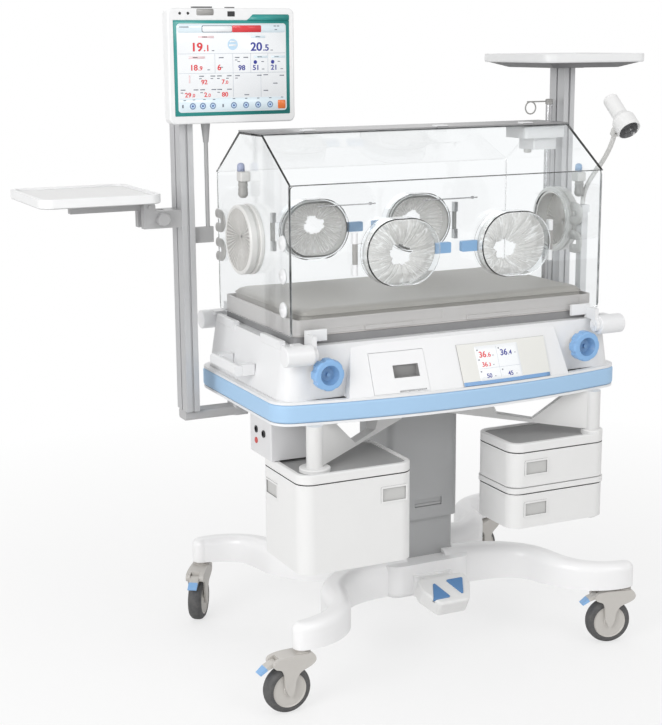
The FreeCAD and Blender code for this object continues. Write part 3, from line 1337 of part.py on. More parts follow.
def monitor():
    left, low = -d.monitor_left, d.monitor_bottom
    xs = (left, left + d.monitor_width)
    ys = (d.monitor_front, d.monitor_front + d.monitor_thickness)
    case = block(xs, ys, (low, low + d.monitor_height))
    case = soften(case, 16, lambda e: e.BoundBox.YLength > 5)
    case = soften(case, 4, facing(ys[0]))
    window = block((xs[0] + 14, xs[1] - 14), (ys[0] - 1, ys[0] + 1.2), (low + 20, low + d.monitor_height - 28))
    tab = block((xs[0] + 72, xs[0] + 122), (ys[0] + 4, ys[0] + 24), (low + d.monitor_height - 0.01, low + d.monitor_height + 4))
    button = block((xs[0] + 162, xs[0] + 184), (ys[0] + 6, ys[0] + 20), (low + d.monitor_height - 0.01, low + d.monitor_height + 3))
    plate_x = left + d.monitor_width / 2
    middle = low + d.monitor_height / 2
    plate = block((plate_x - 50, plate_x + 50), (ys[1] - 0.01, ys[1] + 10), (middle - 50, middle + 50))
    ears = []
    for side in (-1, 1):
        ear_x = plate_x + side * 30
        ears.append(block((ear_x - 5, ear_x + 5), (ys[1] + 9, ys[1] + 34), (middle - 14, middle + 14)))
    bore = rod("x", (plate_x - 60, ys[1] + 26, middle), 5 + d.pin_play, 120)
    node(fuse(cut(case, window), tab, button, plate, cut(fuse(*ears), bore)), "monitor")


def monitor_arm():
    """The arm from the left mast's head to the monitor, with a rigid conduit below."""
    plate_x = -d.monitor_left + d.monitor_width / 2
    middle = d.monitor_bottom + d.monitor_height / 2
    pin_y = d.monitor_front + d.monitor_thickness + 26
    pin = rod("x", (plate_x - 37, pin_y, middle), 5, 74)
    knuckle = rod("x", (plate_x - 24.7, pin_y, middle), 13, 49.4)
    low = d.mast_top - 70
    beam = block((-d.mast_inner + 0.01, plate_x + 24), (d.mast_front + 14, d.mast_front + 46), (low, d.mast_top))
    web = block((plate_x - 24, plate_x + 24), (pin_y, d.mast_front + 46), (middle - 12, middle + 12))
    riser = block((plate_x - 24, plate_x + 24), (d.mast_front + 24, d.mast_front + 46), (low, middle + 12))
    shelf_low = d.port_height
    plate = block((-d.mast_inner + 0.01, -d.mast_inner + 58), (d.mast_front + 16, d.mast_front + 28),
                  (shelf_low, shelf_low + 42))
    tube_x, tube_y = -d.mast_inner + 44, d.mast_front + 22
    neck_low = d.mast_top - 177
    tube = rod("z", (tube_x, tube_y, shelf_low + 41.9), 5.5, neck_low - shelf_low - 41)
    neck = doc.addObject("Part::Cone", "neck")
    bind(neck, "Radius1", 7)
    bind(neck, "Radius2", 15)
    bind(neck, "Height", 72)
    put(neck, tube_x, tube_y, neck_low)
    column = rod("z", (tube_x, tube_y, neck_low + 71.9), 15, low - neck_low - 71.8)
    return fuse(pin, knuckle, beam, web, riser, plate, tube, neck, column)


def lamp_route():
    """The gooseneck's way up from its rail, bending forward to the lamp head."""
    x, low = d.lamp_x, d.hood_bottom + 270
    return [vector(x - 24, -112, low), vector(x - 14, -118, low + 56), vector(x - 3, -145, low + 100),
            vector(x, -184, low + 146), vector(x, -214, low + 198)]


HEAD_ANGLE = 41
NECK_TURN = FreeCAD.Rotation(FreeCAD.Vector(1, 0, 0), 29)
NECK_REACH = 14


def lamp_arm():
    """A square rail on the deck's right side with a gooseneck on top."""
    x = d.lamp_x
    rail = block((x - 34, x - 14), (-124, -100), (d.shell_top - 60, d.hood_bottom + 264))
    bracket = block((x - 60, x - 14), (-132, -92), (d.shell_top - 60, d.shell_top - 13))
    wall = feature(shell_loft(-0.2, d.deck_bottom + d.deck_edge_height, d.shell_top))
    clip = soften(block((x - 38, x - 10), (-128, -96), (d.hood_bottom + 250, d.hood_bottom + 270)), 4, upright)
    curve = Part.BSplineCurve()
    points = lamp_route()
    curve.interpolate(points)
    spine = Part.Wire([curve.toShape()])
    start = Part.Wire([Part.Circle(points[0], curve.tangent(curve.FirstParameter)[0], 6.5).toShape()])
    tube = spine.makePipeShell([start], True, True)
    fork = [block((-10.3, 10.3), (-7, 7), (-2, 5)), rod("x", (-10.3, 0, NECK_REACH), 3, 20.6)]
    for low in (-10.3, 5.3):
        fork.append(block((low, low + 5), (-7, 7), (4, NECK_REACH)))
        fork.append(rod("x", (low, 0, NECK_REACH), 8, 5))
    tip = points[-1]
    yoke = put(fuse(*fork), x, tip.y, tip.z, NECK_TURN)
    node(fuse(cut(fuse(rail, bracket), wall), clip, feature(tube), yoke), "lamp_arm")


def lamp_head():
    """A cylindrical spotlight with a flared bell and a recessed lens."""
    r, bell = d.lamp_diameter / 2, d.lamp_bell / 2
    shape = [
        (0, 2), (r - 2, 0), (r, 3), (r, 66), (bell - 3, 78), (bell, 84), (bell, 120), (bell - 3, 122),
        (bell - 8, 108), (bell - 12, 100), (0, 100),
    ]
    down = FreeCAD.Rotation(FreeCAD.Vector(1, 0, 0), 90 + HEAD_ANGLE)
    pivot = lamp_route()[-1] + NECK_TURN.multVec(vector(0, 0, NECK_REACH))
    drop = bell + 10
    start = pivot - down.multVec(vector(0, -drop, 78))
    lug = fuse(rod("x", (-5, -drop, 78), 7, 10), block((-5, 5), (-drop, -bell + 4), (71, 85)))
    bore = rod("x", (-6, -drop, 78), 3 + d.pin_play, 12)
    body = cut(fuse(turned_profile(shape, (0, 0, 0)), lug), bore)
    node(put(body, start.x, start.y, start.z, down), "lamp_head")


# Put the object together

for corner in SWIVELS:
    caster_fork(corner)
    caster_wheel(corner)
    caster_brake(corner)
base_frame()
foot_control()
column_lower()
lift_actuator()
column_upper()
support_arms()
deck_base()
bumper()
deck_shell()
display_unit()
water_tank()
knob(LEFT, "knob_left")
knob(RIGHT, "knob_right")
sensor_module()
deck_fittings()
left_storage()
right_storage()
air_deck()
mattress_tray()
bed_platform()
mattress()
warm_air_parts()
hood()
top_strip()
fold_down_door(FRONT, "front_door")
fold_down_door(REAR, "rear_door")
for end, word in ((FRONT, "front"), (REAR, "rear")):
    port_door(LEFT, end, f"port_door_{word}_left")
    port_door(RIGHT, end, f"port_door_{word}_right")
    cuffs(end, f"{word}_cuffs")
end_irises()
air_module()
masts()
iv_pole()
side_shelf()
node(fuse(shelf_bracket(), monitor_arm()), "mast_brackets")
top_shelf()
monitor()
lamp_arm()
lamp_head()

doc.recompute()
for thing in doc.Objects:
    if "Invalid" in thing.State or "Error" in thing.State:
        raise RuntimeError(f"{thing.Label} ({thing.TypeId}) failed: {thing.State}")
for thing in NODES:
    if thing.Shape.isNull() or not thing.Shape.isValid():
        raise RuntimeError(f"{thing.Label} has no valid shape")

os.makedirs("parts", exist_ok=True)
for thing in NODES:
    thing.Shape.exportStep(f"parts/{thing.Label}.step")
print(len(NODES), "parts written")
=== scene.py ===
import bmesh
import bpy
import math
from mathutils import Matrix, Vector, noise


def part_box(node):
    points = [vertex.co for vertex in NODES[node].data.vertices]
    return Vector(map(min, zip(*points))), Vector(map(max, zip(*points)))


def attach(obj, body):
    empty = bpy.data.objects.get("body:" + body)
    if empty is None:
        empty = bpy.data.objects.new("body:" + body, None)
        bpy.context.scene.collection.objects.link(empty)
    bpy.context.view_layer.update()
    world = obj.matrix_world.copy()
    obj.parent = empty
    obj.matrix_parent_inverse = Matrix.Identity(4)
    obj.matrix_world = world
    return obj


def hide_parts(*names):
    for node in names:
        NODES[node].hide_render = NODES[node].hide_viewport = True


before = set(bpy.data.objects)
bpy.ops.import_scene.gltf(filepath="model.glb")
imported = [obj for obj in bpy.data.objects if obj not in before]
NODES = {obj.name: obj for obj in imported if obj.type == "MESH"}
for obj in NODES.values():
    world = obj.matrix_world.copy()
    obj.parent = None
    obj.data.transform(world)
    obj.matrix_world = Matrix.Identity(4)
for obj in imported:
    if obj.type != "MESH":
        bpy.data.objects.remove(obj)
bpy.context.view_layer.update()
MM = 0.001
CORNERS = ("front_left", "front_right", "rear_left", "rear_right")

# Places on the CAD model, in millimetres

CASTER_X, CASTER_Y = 495, 360
HUB_RADIUS = 45
LEVER_TIP_REACH = 104
PANEL_FOOT_Z, PANEL_HEIGHT = 777, 127
KNOB_X, KNOB_Z = 386, 844
PORT_X, PORT_Z = 167, 1136
COLLAR_RADIUS, COLLAR_STRETCH = 80.6, 38
COLLAR_LIP_Y = 268
END_WALL_X, END_PORT_Z = 464, 1156
MONITOR_FACE_Y = 61.2


def signs(corner):
    """Which way a corner lies from the middle, along X and along Y."""
    return (-1 if "left" in corner else 1), (-1 if "front" in corner else 1)


# Camera, light and floor

PHOTO_HEIGHT = 725
FOCAL_PIXELS = 1491.35
SENSOR_SIZE = 36


def aim_camera():
    """Stand where the photograph was taken from."""
    camera = bpy.data.objects.new("photo_camera", bpy.data.cameras.new("photo_camera"))
    bpy.context.scene.collection.objects.link(camera)
    yaw, pitch, roll = math.radians(25.43), math.radians(12.23), math.radians(-0.41)
    forward = Vector((math.sin(yaw) * math.cos(pitch), math.cos(yaw) * math.cos(pitch), -math.sin(pitch)))
    right = Vector((math.cos(yaw), -math.sin(yaw), 0))
    up = right.cross(forward)
    level_right = right * math.cos(roll) + up * math.sin(roll)
    level_up = up * math.cos(roll) - right * math.sin(roll)
    turn = Matrix((level_right, level_up, -forward)).transposed()
    camera.matrix_world = Matrix.Translation((-1.9412, -3.5831, 1.6634)) @ turn.to_4x4()
    camera.data.lens = SENSOR_SIZE * FOCAL_PIXELS / PHOTO_HEIGHT
    camera.data.clip_end = 60
    bpy.context.scene.camera = camera


def softbox(name, place, target, size, power):
    """A square of light turned towards a target."""
    lamp = bpy.data.lights.new(name, "AREA")
    lamp.shape = "RECTANGLE"
    lamp.size, lamp.size_y = size
    lamp.energy = power
    holder = bpy.data.objects.new(name, lamp)
    bpy.context.scene.collection.objects.link(holder)
    holder.location = place
    holder.rotation_euler = (Vector(target) - Vector(place)).to_track_quat("-Z", "Y").to_euler()


def light_studio():
    softbox("key_light", (-4.0, -2.1, 2.4), (0, 0, 0.8), (2.4, 2.2), 92)
    softbox("fill_light", (1.2, -3.3, 3.1), (0, 0, 0.8), (2.4, 2.0), 34)
    softbox("back_light", (0.4, 3.0, 2.8), (0, 0, 1.0), (3.0, 1.6), 16)
    world = bpy.data.worlds.new("studio")
    world.use_nodes = True
    bpy.context.scene.world = world
    tree = world.node_tree
    ambient = tree.nodes["Background"]
    ambient.inputs["Color"].default_value = (1.0, 0.995, 0.99, 1)
    ambient.inputs["Strength"].default_value = 0.62
    backdrop = add(tree, "Background", Color=(1, 1, 1, 1), Strength=1.0)
    blend(tree, seen_directly(tree, mirrored=0.6), ambient, backdrop, "World Output")


def seen_directly(tree, mirrored=0.0):
    """One where the camera or a clear sheet looks straight at the backdrop, less in a reflection."""
    path = add(tree, "LightPath")
    straight = math_node(tree, path.outputs["Is Camera Ray"], path.outputs["Is Transmission Ray"], "MAXIMUM")
    reflected = math_node(tree, path.outputs["Is Glossy Ray"], mirrored, "MULTIPLY")
    return math_node(tree, straight, reflected, "MAXIMUM")


def lay_floor():
    """Pale paper that keeps the shadow near the object and fades to the backdrop's white."""
    mesh = bpy.data.meshes.new("studio_floor")
    build = bmesh.new()
    bmesh.ops.create_grid(build, x_segments=1, y_segments=1, size=14)
    build.to_mesh(mesh)
    build.free()
    floor = bpy.data.objects.new("studio_floor", mesh)
    bpy.context.scene.collection.objects.link(floor)
    floor.location.z = -0.0005
    tree, paper = start_material("studio_paper", Base_Color=(0.86, 0.86, 0.86, 1), Roughness=0.75)
    glow = add(tree, "Emission", Color=(1, 1, 1, 1))
    distance = pattern(tree, "VectorMath", operation="LENGTH")
    fade = spread(tree, distance.outputs["Value"], 0.62, 1.0, 0.35, 2.6)
    blend(tree, math_node(tree, seen_directly(tree), fade, "MULTIPLY"), paper, glow)
    mesh.materials.append(FINISH["studio_paper"])


# Tools for materials

FINISH = {}


def add(tree, kind, **values):
    """A shader node with its sockets and settings."""
    node = tree.nodes.new(f"ShaderNode{kind}")
    for key, value in values.items():
        if key in node.inputs:
            node.inputs[key].default_value = value
        else:
            setattr(node, key, value)
    return node


def pattern(tree, kind, **values):
    """A node laid out on the piece's own coordinates."""
    node = add(tree, kind, **values)
    tree.links.new(add(tree, "TexCoord").outputs["Object"], node.inputs["Vector"])
    return node


def math_node(tree, first, second, operation="ADD"):
    node = add(tree, "Math", operation=operation)
    for socket, value in zip(node.inputs, (first, second)):
        if isinstance(value, (int, float)):
            socket.default_value = value
        else:
            tree.links.new(value, socket)
    return node.outputs[0]


def swing(tree, texture, amount):
    """A texture's variation about zero, times an amount."""
    return math_node(tree, math_node(tree, texture.outputs["Fac"], -0.5), amount, "MULTIPLY")


def spread(tree, value, low, high, start=0.0, end=1.0):
    """Map a value that runs from start to end onto low to high."""
    node = add(tree, "MapRange")
    for label, number in (("From Min", start), ("From Max", end), ("To Min", low), ("To Max", high)):
        node.inputs[label].default_value = number
    tree.links.new(value, node.inputs["Value"])
    return node.outputs[0]


def ramp(tree, value, low, high, start=0.0, end=1.0):
    """Go from one colour to another as a value runs from start to end."""
    node = add(tree, "ValToRGB")
    for stop, position, colour in zip(node.color_ramp.elements, (start, end), (low, high)):
        stop.position = position
        stop.color = (*colour, 1)
    tree.links.new(value, node.inputs["Fac"])
    return node.outputs["Color"]


def tinted(tree, colour, strength):
    """A colour made lighter or darker by a factor."""
    node = add(tree, "VectorMath", operation="SCALE")
    tree.links.new(colour, node.inputs[0])
    tree.links.new(strength, node.inputs["Scale"])
    return node.outputs[0]


def blend(tree, share, first, second, output="Material Output"):
    """Mix two shaders and send them to the output."""
    mix = add(tree, "MixShader")
    tree.links.new(share, mix.inputs[0])
    tree.links.new(first.outputs[0], mix.inputs[1])
    tree.links.new(second.outputs[0], mix.inputs[2])
    tree.links.new(mix.outputs[0], tree.nodes[output].inputs[0])


def start_material(name, **sockets):
    """A new finish, with plain values on its shader's own sockets."""
    material = bpy.data.materials.new(name)
    material.use_nodes = True
    FINISH[name] = material
    shader = material.node_tree.nodes["Principled BSDF"]
    for key, value in sockets.items():
        shader.inputs[key.replace("_", " ")].default_value = value
    return material.node_tree, shader


def relief(tree, shader, height, strength, distance):
    bump = add(tree, "Bump", Strength=strength, Distance=distance)
    tree.links.new(height, bump.inputs["Height"])
    tree.links.new(bump.outputs[0], shader.inputs["Normal"])


def mottled(tree, shader, value, colours, stops, roughness):
    """Let a pattern move the colour and the roughness between two ends."""
    tree.links.new(ramp(tree, value, *colours, *stops), shader.inputs["Base Color"])
    tree.links.new(spread(tree, value, *roughness), shader.inputs["Roughness"])


# Surface effects that several finishes share

def new_group(name, inputs):
    """A group that puts out a colour, a roughness and a height."""
    group = bpy.data.node_groups.new(name, "ShaderNodeTree")
    for label, kind, value in inputs:
        socket = group.interface.new_socket(name=label, in_out="INPUT", socket_type=f"NodeSocket{kind}")
        socket.default_value = value
    for label, kind in (("Colour", "Color"), ("Roughness", "Float"), ("Height", "Float")):
        group.interface.new_socket(name=label, in_out="OUTPUT", socket_type=f"NodeSocket{kind}")
    start = group.nodes.new("NodeGroupInput")
    end = group.nodes.new("NodeGroupOutput")
    return group, start, end


def moulded_group():
    """Fine spark texture, faint flow marks and the handled look of moulded or painted skins."""
    group, start, end = new_group("moulded_skin", [
        ("Colour", "Color", (0.8, 0.8, 0.8, 1)), ("Roughness", "Float", 0.4), ("Grain", "Float", 900.0),
        ("Depth", "Float", 0.2), ("Handling", "Float", 0.04),
    ])
    spark = pattern(group, "TexNoise", Detail=3.0, Roughness=0.6)
    group.links.new(start.outputs["Grain"], spark.inputs["Scale"])
    flow = pattern(group, "TexNoise", Scale=7.0, Detail=5.0, Roughness=0.62)
    smudge = pattern(group, "TexNoise", Scale=34.0, Detail=4.0, Roughness=0.7, Distortion=0.6)
    tone = math_node(group, swing(group, flow, start.outputs["Handling"]), 1.0)
    rough = math_node(group, start.outputs["Roughness"], swing(group, smudge, 0.16))
    height = math_node(group, spark.outputs["Fac"], start.outputs["Depth"], "MULTIPLY")
    group.links.new(tinted(group, start.outputs["Colour"], tone), end.inputs["Colour"])
    group.links.new(rough, end.inputs["Roughness"])
    group.links.new(height, end.inputs["Height"])
    return group


def brushed_group():
    """Long fine lines along Z, as on drawn and brushed metal."""
    group, start, end = new_group("drawn_lines", [
        ("Colour", "Color", (0.6, 0.6, 0.6, 1)), ("Roughness", "Float", 0.35),
    ])
    stretch = pattern(group, "Mapping", Scale=(900, 900, 6))
    lines = add(group, "TexNoise", Scale=1.0, Detail=2.0)
    group.links.new(stretch.outputs[0], lines.inputs["Vector"])
    shift = swing(group, lines, 0.06)
    tone = math_node(group, shift, 1.0)
    group.links.new(tinted(group, start.outputs["Colour"], tone), end.inputs["Colour"])
    group.links.new(math_node(group, start.outputs["Roughness"], shift), end.inputs["Roughness"])
    group.links.new(lines.outputs["Fac"], end.inputs["Height"])
    return group


MOULDED = moulded_group()
BRUSHED = brushed_group()


def put_on(tree, shader, skin, strength, distance):
    """Feed a group's colour, roughness and height to the shader."""
    tree.links.new(skin.outputs["Colour"], shader.inputs["Base Color"])
    tree.links.new(skin.outputs["Roughness"], shader.inputs["Roughness"])
    relief(tree, shader, skin.outputs["Height"], strength, distance)


# Finishes

def moulded(name, colour, roughness, grain, depth=0.2, handling=0.04, coat=0.0):
    tree, shader = start_material(name, Coat_Weight=coat, Coat_Roughness=0.12)
    skin = add(tree, "Group", node_tree=MOULDED, Colour=(*colour, 1), Roughness=roughness, Grain=grain,
               Depth=depth, Handling=handling)
    put_on(tree, shader, skin, 0.12, 0.0006)


def drawn_metal(name, colour, roughness, metal):
    tree, shader = start_material(name, Metallic=metal)
    lines = add(tree, "Group", node_tree=BRUSHED, Colour=(*colour, 1), Roughness=roughness)
    put_on(tree, shader, lines, 0.08, 0.0003)


def clear_acrylic():
    """Clear sheet with a faint wiped haze. Light passes it on its way to what lies behind it."""
    tree, shader = start_material("clear_acrylic", Base_Color=(0.985, 0.995, 1.0, 1), IOR=1.46,
                                  Transmission_Weight=1.0)
    wipe = pattern(tree, "TexNoise", Scale=5.0, Detail=4.0, Distortion=0.4)
    haze = spread(tree, wipe.outputs["Fac"], 0.0, 0.035, 0.45, 0.8)
    tree.links.new(haze, shader.inputs["Roughness"])
    path = add(tree, "LightPath")
    through = math_node(tree, path.outputs["Is Shadow Ray"], path.outputs["Is Diffuse Ray"], "MAXIMUM")
    blend(tree, through, shader, add(tree, "BsdfTransparent", Color=(0.96, 0.97, 0.97, 1)))


def cloudy_lit_edge():
    """The cut edge of an acrylic sheet: a little cloudy, and pale in noise streaks that are painted light for
    the light gathered in the edge.
    """
    tree, shader = start_material("acrylic_edge", IOR=1.3, Transmission_Weight=0.55)
    streak = pattern(tree, "TexNoise", Scale=26.0, Detail=4.0, Distortion=0.5).outputs["Fac"]
    mottled(tree, shader, streak, ((0.42, 0.44, 0.45), (0.93, 0.95, 0.96)), (0.35, 0.62), (0.08, 0.3))


def crinkled_film(name, alpha, shade, sharp):
    """Thin soft film: part see-through, milky and pale along its creases."""
    tree, shader = start_material(name, Roughness=0.24, IOR=1.45)
    folds = pattern(tree, "TexNoise", Scale=85.0, Detail=3.0, Distortion=1.4)
    crease = add(tree, "Attribute", attribute_name="crease")
    milky = math_node(tree, crease.outputs["Fac"], swing(tree, folds, 0.7))
    tree.links.new(ramp(tree, milky, shade, sharp), shader.inputs["Base Color"])
    tree.links.new(spread(tree, milky, alpha, min(1.0, alpha + 0.35)), shader.inputs["Alpha"])
    relief(tree, shader, folds.outputs["Fac"], 0.45, 0.003)


def tyre_rubber():
    """Dark rubber with dust in its pores."""
    tree, shader = start_material("tyre_rubber", Specular_IOR_Level=0.35)
    dust = pattern(tree, "TexNoise", Scale=55.0, Detail=6.0, Roughness=0.7).outputs["Fac"]
    mottled(tree, shader, dust, ((0.075, 0.075, 0.078), (0.135, 0.133, 0.13)), (0.35, 0.75), (0.5, 0.75))
    relief(tree, shader, dust, 0.15, 0.0008)


def coated_cloth():
    """The mattress cover: a tight weave under a thin wipe-clean coat."""
    tree, shader = start_material("coated_cloth", Sheen_Weight=0.15, Coat_Weight=0.10, Coat_Roughness=0.5)
    threads = []
    for direction in ("X", "Y"):
        wave = pattern(tree, "TexWave", Scale=420.0, Distortion=1.2, Detail=1.0, bands_direction=direction)
        threads.append(wave.outputs["Fac"])
    weave = math_node(tree, *threads, "MAXIMUM")
    blotch = pattern(tree, "TexNoise", Scale=9.0, Detail=5.0).outputs["Fac"]
    mottled(tree, shader, blotch, ((0.36, 0.34, 0.315), (0.42, 0.40, 0.37)), (0.3, 0.8), (0.42, 0.60))
    relief(tree, shader, weave, 0.05, 0.0002)


def lit_ink(name, colour, glow):
    """Screen colours glow a little and keep a faint pixel grid."""
    tree, shader = start_material(name, Roughness=0.18, Emission_Strength=glow)
    grid = pattern(tree, "TexChecker", Scale=2600.0, Color1=(*colour, 1),
                   Color2=(*(0.94 * c for c in colour), 1))
    under = add(tree, "VectorMath", operation="SCALE", Scale=1 - glow)
    tree.links.new(grid.outputs["Color"], under.inputs[0])
    tree.links.new(under.outputs[0], shader.inputs["Base Color"])
    tree.links.new(grid.outputs["Color"], shader.inputs["Emission Color"])


moulded("shell_white", (0.82, 0.825, 0.835), 0.36, 1400, coat=0.15)
moulded("painted_white", (0.90, 0.90, 0.905), 0.34, 520, depth=0.35, coat=0.25)
# A darker copy of the painted white, for the support arms under the deck: painted shade.
moulded("arm_shaded_white", (0.74, 0.74, 0.735), 0.36, 520, depth=0.3, coat=0.2)
moulded("box_white", (0.80, 0.80, 0.795), 0.42, 1600)
moulded("gasket", (0.05, 0.05, 0.05), 0.6, 1100)
# Grey for the floors of the pulls, and the recess grey below for their walls: painted shade.
moulded("pull_grey", (0.56, 0.56, 0.55), 0.5, 1300)
moulded("recess_grey", (0.34, 0.34, 0.34), 0.55, 1200)
moulded("column_grey", (0.40, 0.405, 0.41), 0.38, 700, depth=0.3, coat=0.1)
moulded("bumper_blue", (0.385, 0.585, 0.81), 0.45, 800, depth=0.25, handling=0.06)
moulded("knob_blue", (0.25, 0.46, 0.76), 0.35, 1200, handling=0.08)
# Darker blue for the knob's dished middle: painted shade.
moulded("knob_dish", (0.17, 0.32, 0.55), 0.30, 1200)
moulded("latch_blue", (0.24, 0.42, 0.66), 0.32, 1300, handling=0.08)
moulded("deep_blue", (0.10, 0.24, 0.48), 0.35, 1000)
moulded("strip_blue", (0.20, 0.38, 0.66), 0.30, 1400)
moulded("caster_grey", (0.56, 0.54, 0.51), 0.45, 1000, handling=0.08)
moulded("module_white", (0.70, 0.70, 0.71), 0.42, 1500)
# Grey for inside the water tank's finger grip: painted shade.
moulded("grip_grey", (0.30, 0.30, 0.30), 0.5, 1200)
moulded("dark_grey", (0.16, 0.16, 0.165), 0.45, 1200)
moulded("air_deck_grey", (0.26, 0.26, 0.265), 0.5, 1000)
moulded("strip_grey", (0.30, 0.30, 0.305), 0.35, 1400)
moulded("socket_black", (0.02, 0.02, 0.022), 0.3, 1500)
moulded("socket_red", (0.55, 0.06, 0.05), 0.3, 1500)
moulded("tray_grey", (0.555, 0.53, 0.52), 0.42, 1100)
moulded("platform_grey", (0.60, 0.59, 0.57), 0.45, 1100)
moulded("ring_grey", (0.73, 0.725, 0.71), 0.35, 1500, coat=0.2)
moulded("clamp_grey", (0.36, 0.355, 0.345), 0.32, 1300)
moulded("lamp_white", (0.83, 0.83, 0.83), 0.38, 1500)
moulded("lens_dark", (0.14, 0.14, 0.145), 0.12, 900, coat=0.6)
moulded("bezel_beige", (0.79, 0.79, 0.755), 0.35, 1500)
moulded("grommet", (0.58, 0.575, 0.56), 0.3, 1200, coat=0.3)
moulded("tip_blue", (0.36, 0.40, 0.55), 0.4, 1200)
moulded("niche_grey", (0.66, 0.655, 0.64), 0.4, 1400)
moulded("monitor_white", (0.84, 0.845, 0.85), 0.35, 1500)
moulded("teal", (0.03, 0.30, 0.28), 0.3, 1500)
moulded("shelf_top", (0.73, 0.73, 0.73), 0.4, 1400)
moulded("arm_metal", (0.46, 0.46, 0.465), 0.42, 900)
drawn_metal("mast_metal", (0.60, 0.605, 0.615), 0.42, 0.6)
drawn_metal("steel", (0.55, 0.55, 0.56), 0.25, 1.0)
clear_acrylic()
cloudy_lit_edge()
crinkled_film("film", 0.58, (0.70, 0.685, 0.665), (0.95, 0.95, 0.945))
crinkled_film("pleat_film", 0.88, (0.50, 0.49, 0.47), (0.74, 0.735, 0.72))
tyre_rubber()
coated_cloth()
lit_ink("screen", (0.93, 0.95, 0.97), 0.55)
lit_ink("ink_red", (0.75, 0.05, 0.06), 0.3)
lit_ink("ink_blue", (0.04, 0.05, 0.32), 0.2)
lit_ink("ink_grey", (0.18, 0.20, 0.24), 0.1)
lit_ink("ink_line", (0.55, 0.60, 0.66), 0.3)
lit_ink("ink_icon", (0.22, 0.30, 0.46), 0.25)
lit_ink("ink_pale", (0.78, 0.89, 0.95), 0.5)
lit_ink("ink_pink", (0.93, 0.72, 0.74), 0.45)
lit_ink("ink_sky", (0.55, 0.75, 0.92), 0.4)
lit_ink("ink_orange", (0.85, 0.22, 0.06), 0.4)


# Dressing the parts that come from the CAD model

def dress(node, finish):
    materials = NODES[node].data.materials
    materials.clear()
    materials.append(FINISH[finish])


def zones(node, finishes, choose):
    """Give each face of a part the finish that choose names for its middle, in millimetres."""
    dress(node, finishes[0])
    mesh = NODES[node].data
    for finish in finishes[1:]:
        mesh.materials.append(FINISH[finish])
    for face in mesh.polygons:
        face.material_index = finishes.index(choose(face.center / MM, face.normal))


ONE_FINISH = {
    "base_frame": "painted_white", "pedal_box": "box_white", "pedal_up": "deep_blue",
    "pedal_down": "deep_blue", "column_lower": "column_grey", "column_upper": "column_grey",
    # The support arms take the darker copy of the white paint: painted shade.
    "lift_actuator": "steel", "support_arms": "arm_shaded_white", "deck_base": "shell_white",
    "deck_shell": "shell_white", "deck_fittings": "shell_white", "bumper": "bumper_blue",
    "air_deck": "air_deck_grey", "air_heater": "steel", "fan_impeller": "dark_grey",
    "mattress_tray": "tray_grey", "bed_platform": "platform_grey", "mast_brackets": "arm_metal",
    "iv_pole": "clamp_grey",
}


def dress_caster(corner):
    """A grey fork, a brake lever with a coloured tip, and a dark tyre round a grey hub."""
    dress(f"caster_fork_{corner}", "caster_grey")
    side, end = signs(corner)
    pivot = Vector((side * CASTER_X, end * CASTER_Y))
    low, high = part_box(f"caster_wheel_{corner}")
    centre = (low + high) / 2 / MM
    rolling = (centre.xy - pivot).normalized()

    def lever_zone(p, n):
        return "knob_blue" if (p.xy - pivot).length > LEVER_TIP_REACH else "caster_grey"

    def wheel_zone(p, n):
        along = (p.xy - centre.xy).dot(rolling)
        return "tyre_rubber" if math.hypot(along, p.z - centre.z) > HUB_RADIUS else "caster_grey"

    zones(f"caster_brake_{corner}", ["caster_grey", "knob_blue"], lever_zone)
    zones(f"caster_wheel_{corner}", ["tyre_rubber", "caster_grey"], wheel_zone)


def dress_storage():
    """The box and drawers with their lids."""
    lid = ["box_white", "recess_grey", "gasket"]
    zones("left_lid", lid, lambda p, n: lid_zone(p, n, (594, 599), [579]))
    zones("right_lid", lid, lambda p, n: lid_zone(p, n, (590, 596), [576, 460]))
    dress_box("left_box", (-258, -192), (508, 542), (-182, -116))
    dress_box("right_upper_drawer", (190, 256), (513, 547))
    dress_box("right_lower_drawer", (190, 256), (397, 431))


def lid_zone(p, n, sunken, undersides):
    """A lid's sunken top is grey, and a dark seal lies under it."""
    if sunken[0] < p.z < sunken[1] and n.z > 0.9:
        return "recess_grey"
    return "gasket" if n.z < -0.9 and any(abs(p.z - z) < 1 for z in undersides) else "box_white"


def dress_box(node, xs, zs, side_ys=None):
    """White box with recessed pulls painted grey inside as painted shade, and a dark seal round its rim."""
    low, high = (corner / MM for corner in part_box(node))

    def choose(p, n):
        if n.z > 0.9 and p.z > high.z - 0.5:
            return "gasket"
        front = pull_zone(p.x, p.z, p.y - low.y, n.y, xs, zs)
        if front == "box_white" and side_ys:
            return pull_zone(p.y, p.z, p.x - low.x, n.x, side_ys, zs)
        return front

    zones(node, ["box_white", "pull_grey", "recess_grey", "gasket"], choose)


def pull_zone(across, height, depth, facing, span, zs):
    """Painted shade inside a pull: a grey floor, darker walls, and a thin dark outline on the sides of its
    frame.
    """
    frame_width, pull_depth = 6, 4.2
    inside = span[0] < across < span[1] and zs[0] < height < zs[1]
    framed = (span[0] - frame_width < across < span[1] + frame_width
              and zs[0] - frame_width < height < zs[1] + frame_width)
    if depth > pull_depth or not framed:
        return "box_white"
    if abs(facing) < 0.5:
        return "recess_grey"
    return "pull_grey" if depth > 3 and inside else "box_white"


def dress_deck():
    zones("display_unit", ["bezel_beige", "clamp_grey"],
          lambda p, n: "clamp_grey" if n.y > -0.6 else "bezel_beige")
    zones("water_tank", ["shell_white", "grip_grey", "socket_black"], tank_zone)
    for node, x in (("knob_left", -KNOB_X), ("knob_right", KNOB_X)):
        zones(node, ["knob_blue", "knob_dish", "shell_white"], lambda p, n, x=x: knob_zone(p, x))
    zones("sensor_module", ["module_white", "socket_black", "socket_red"], socket_zone)


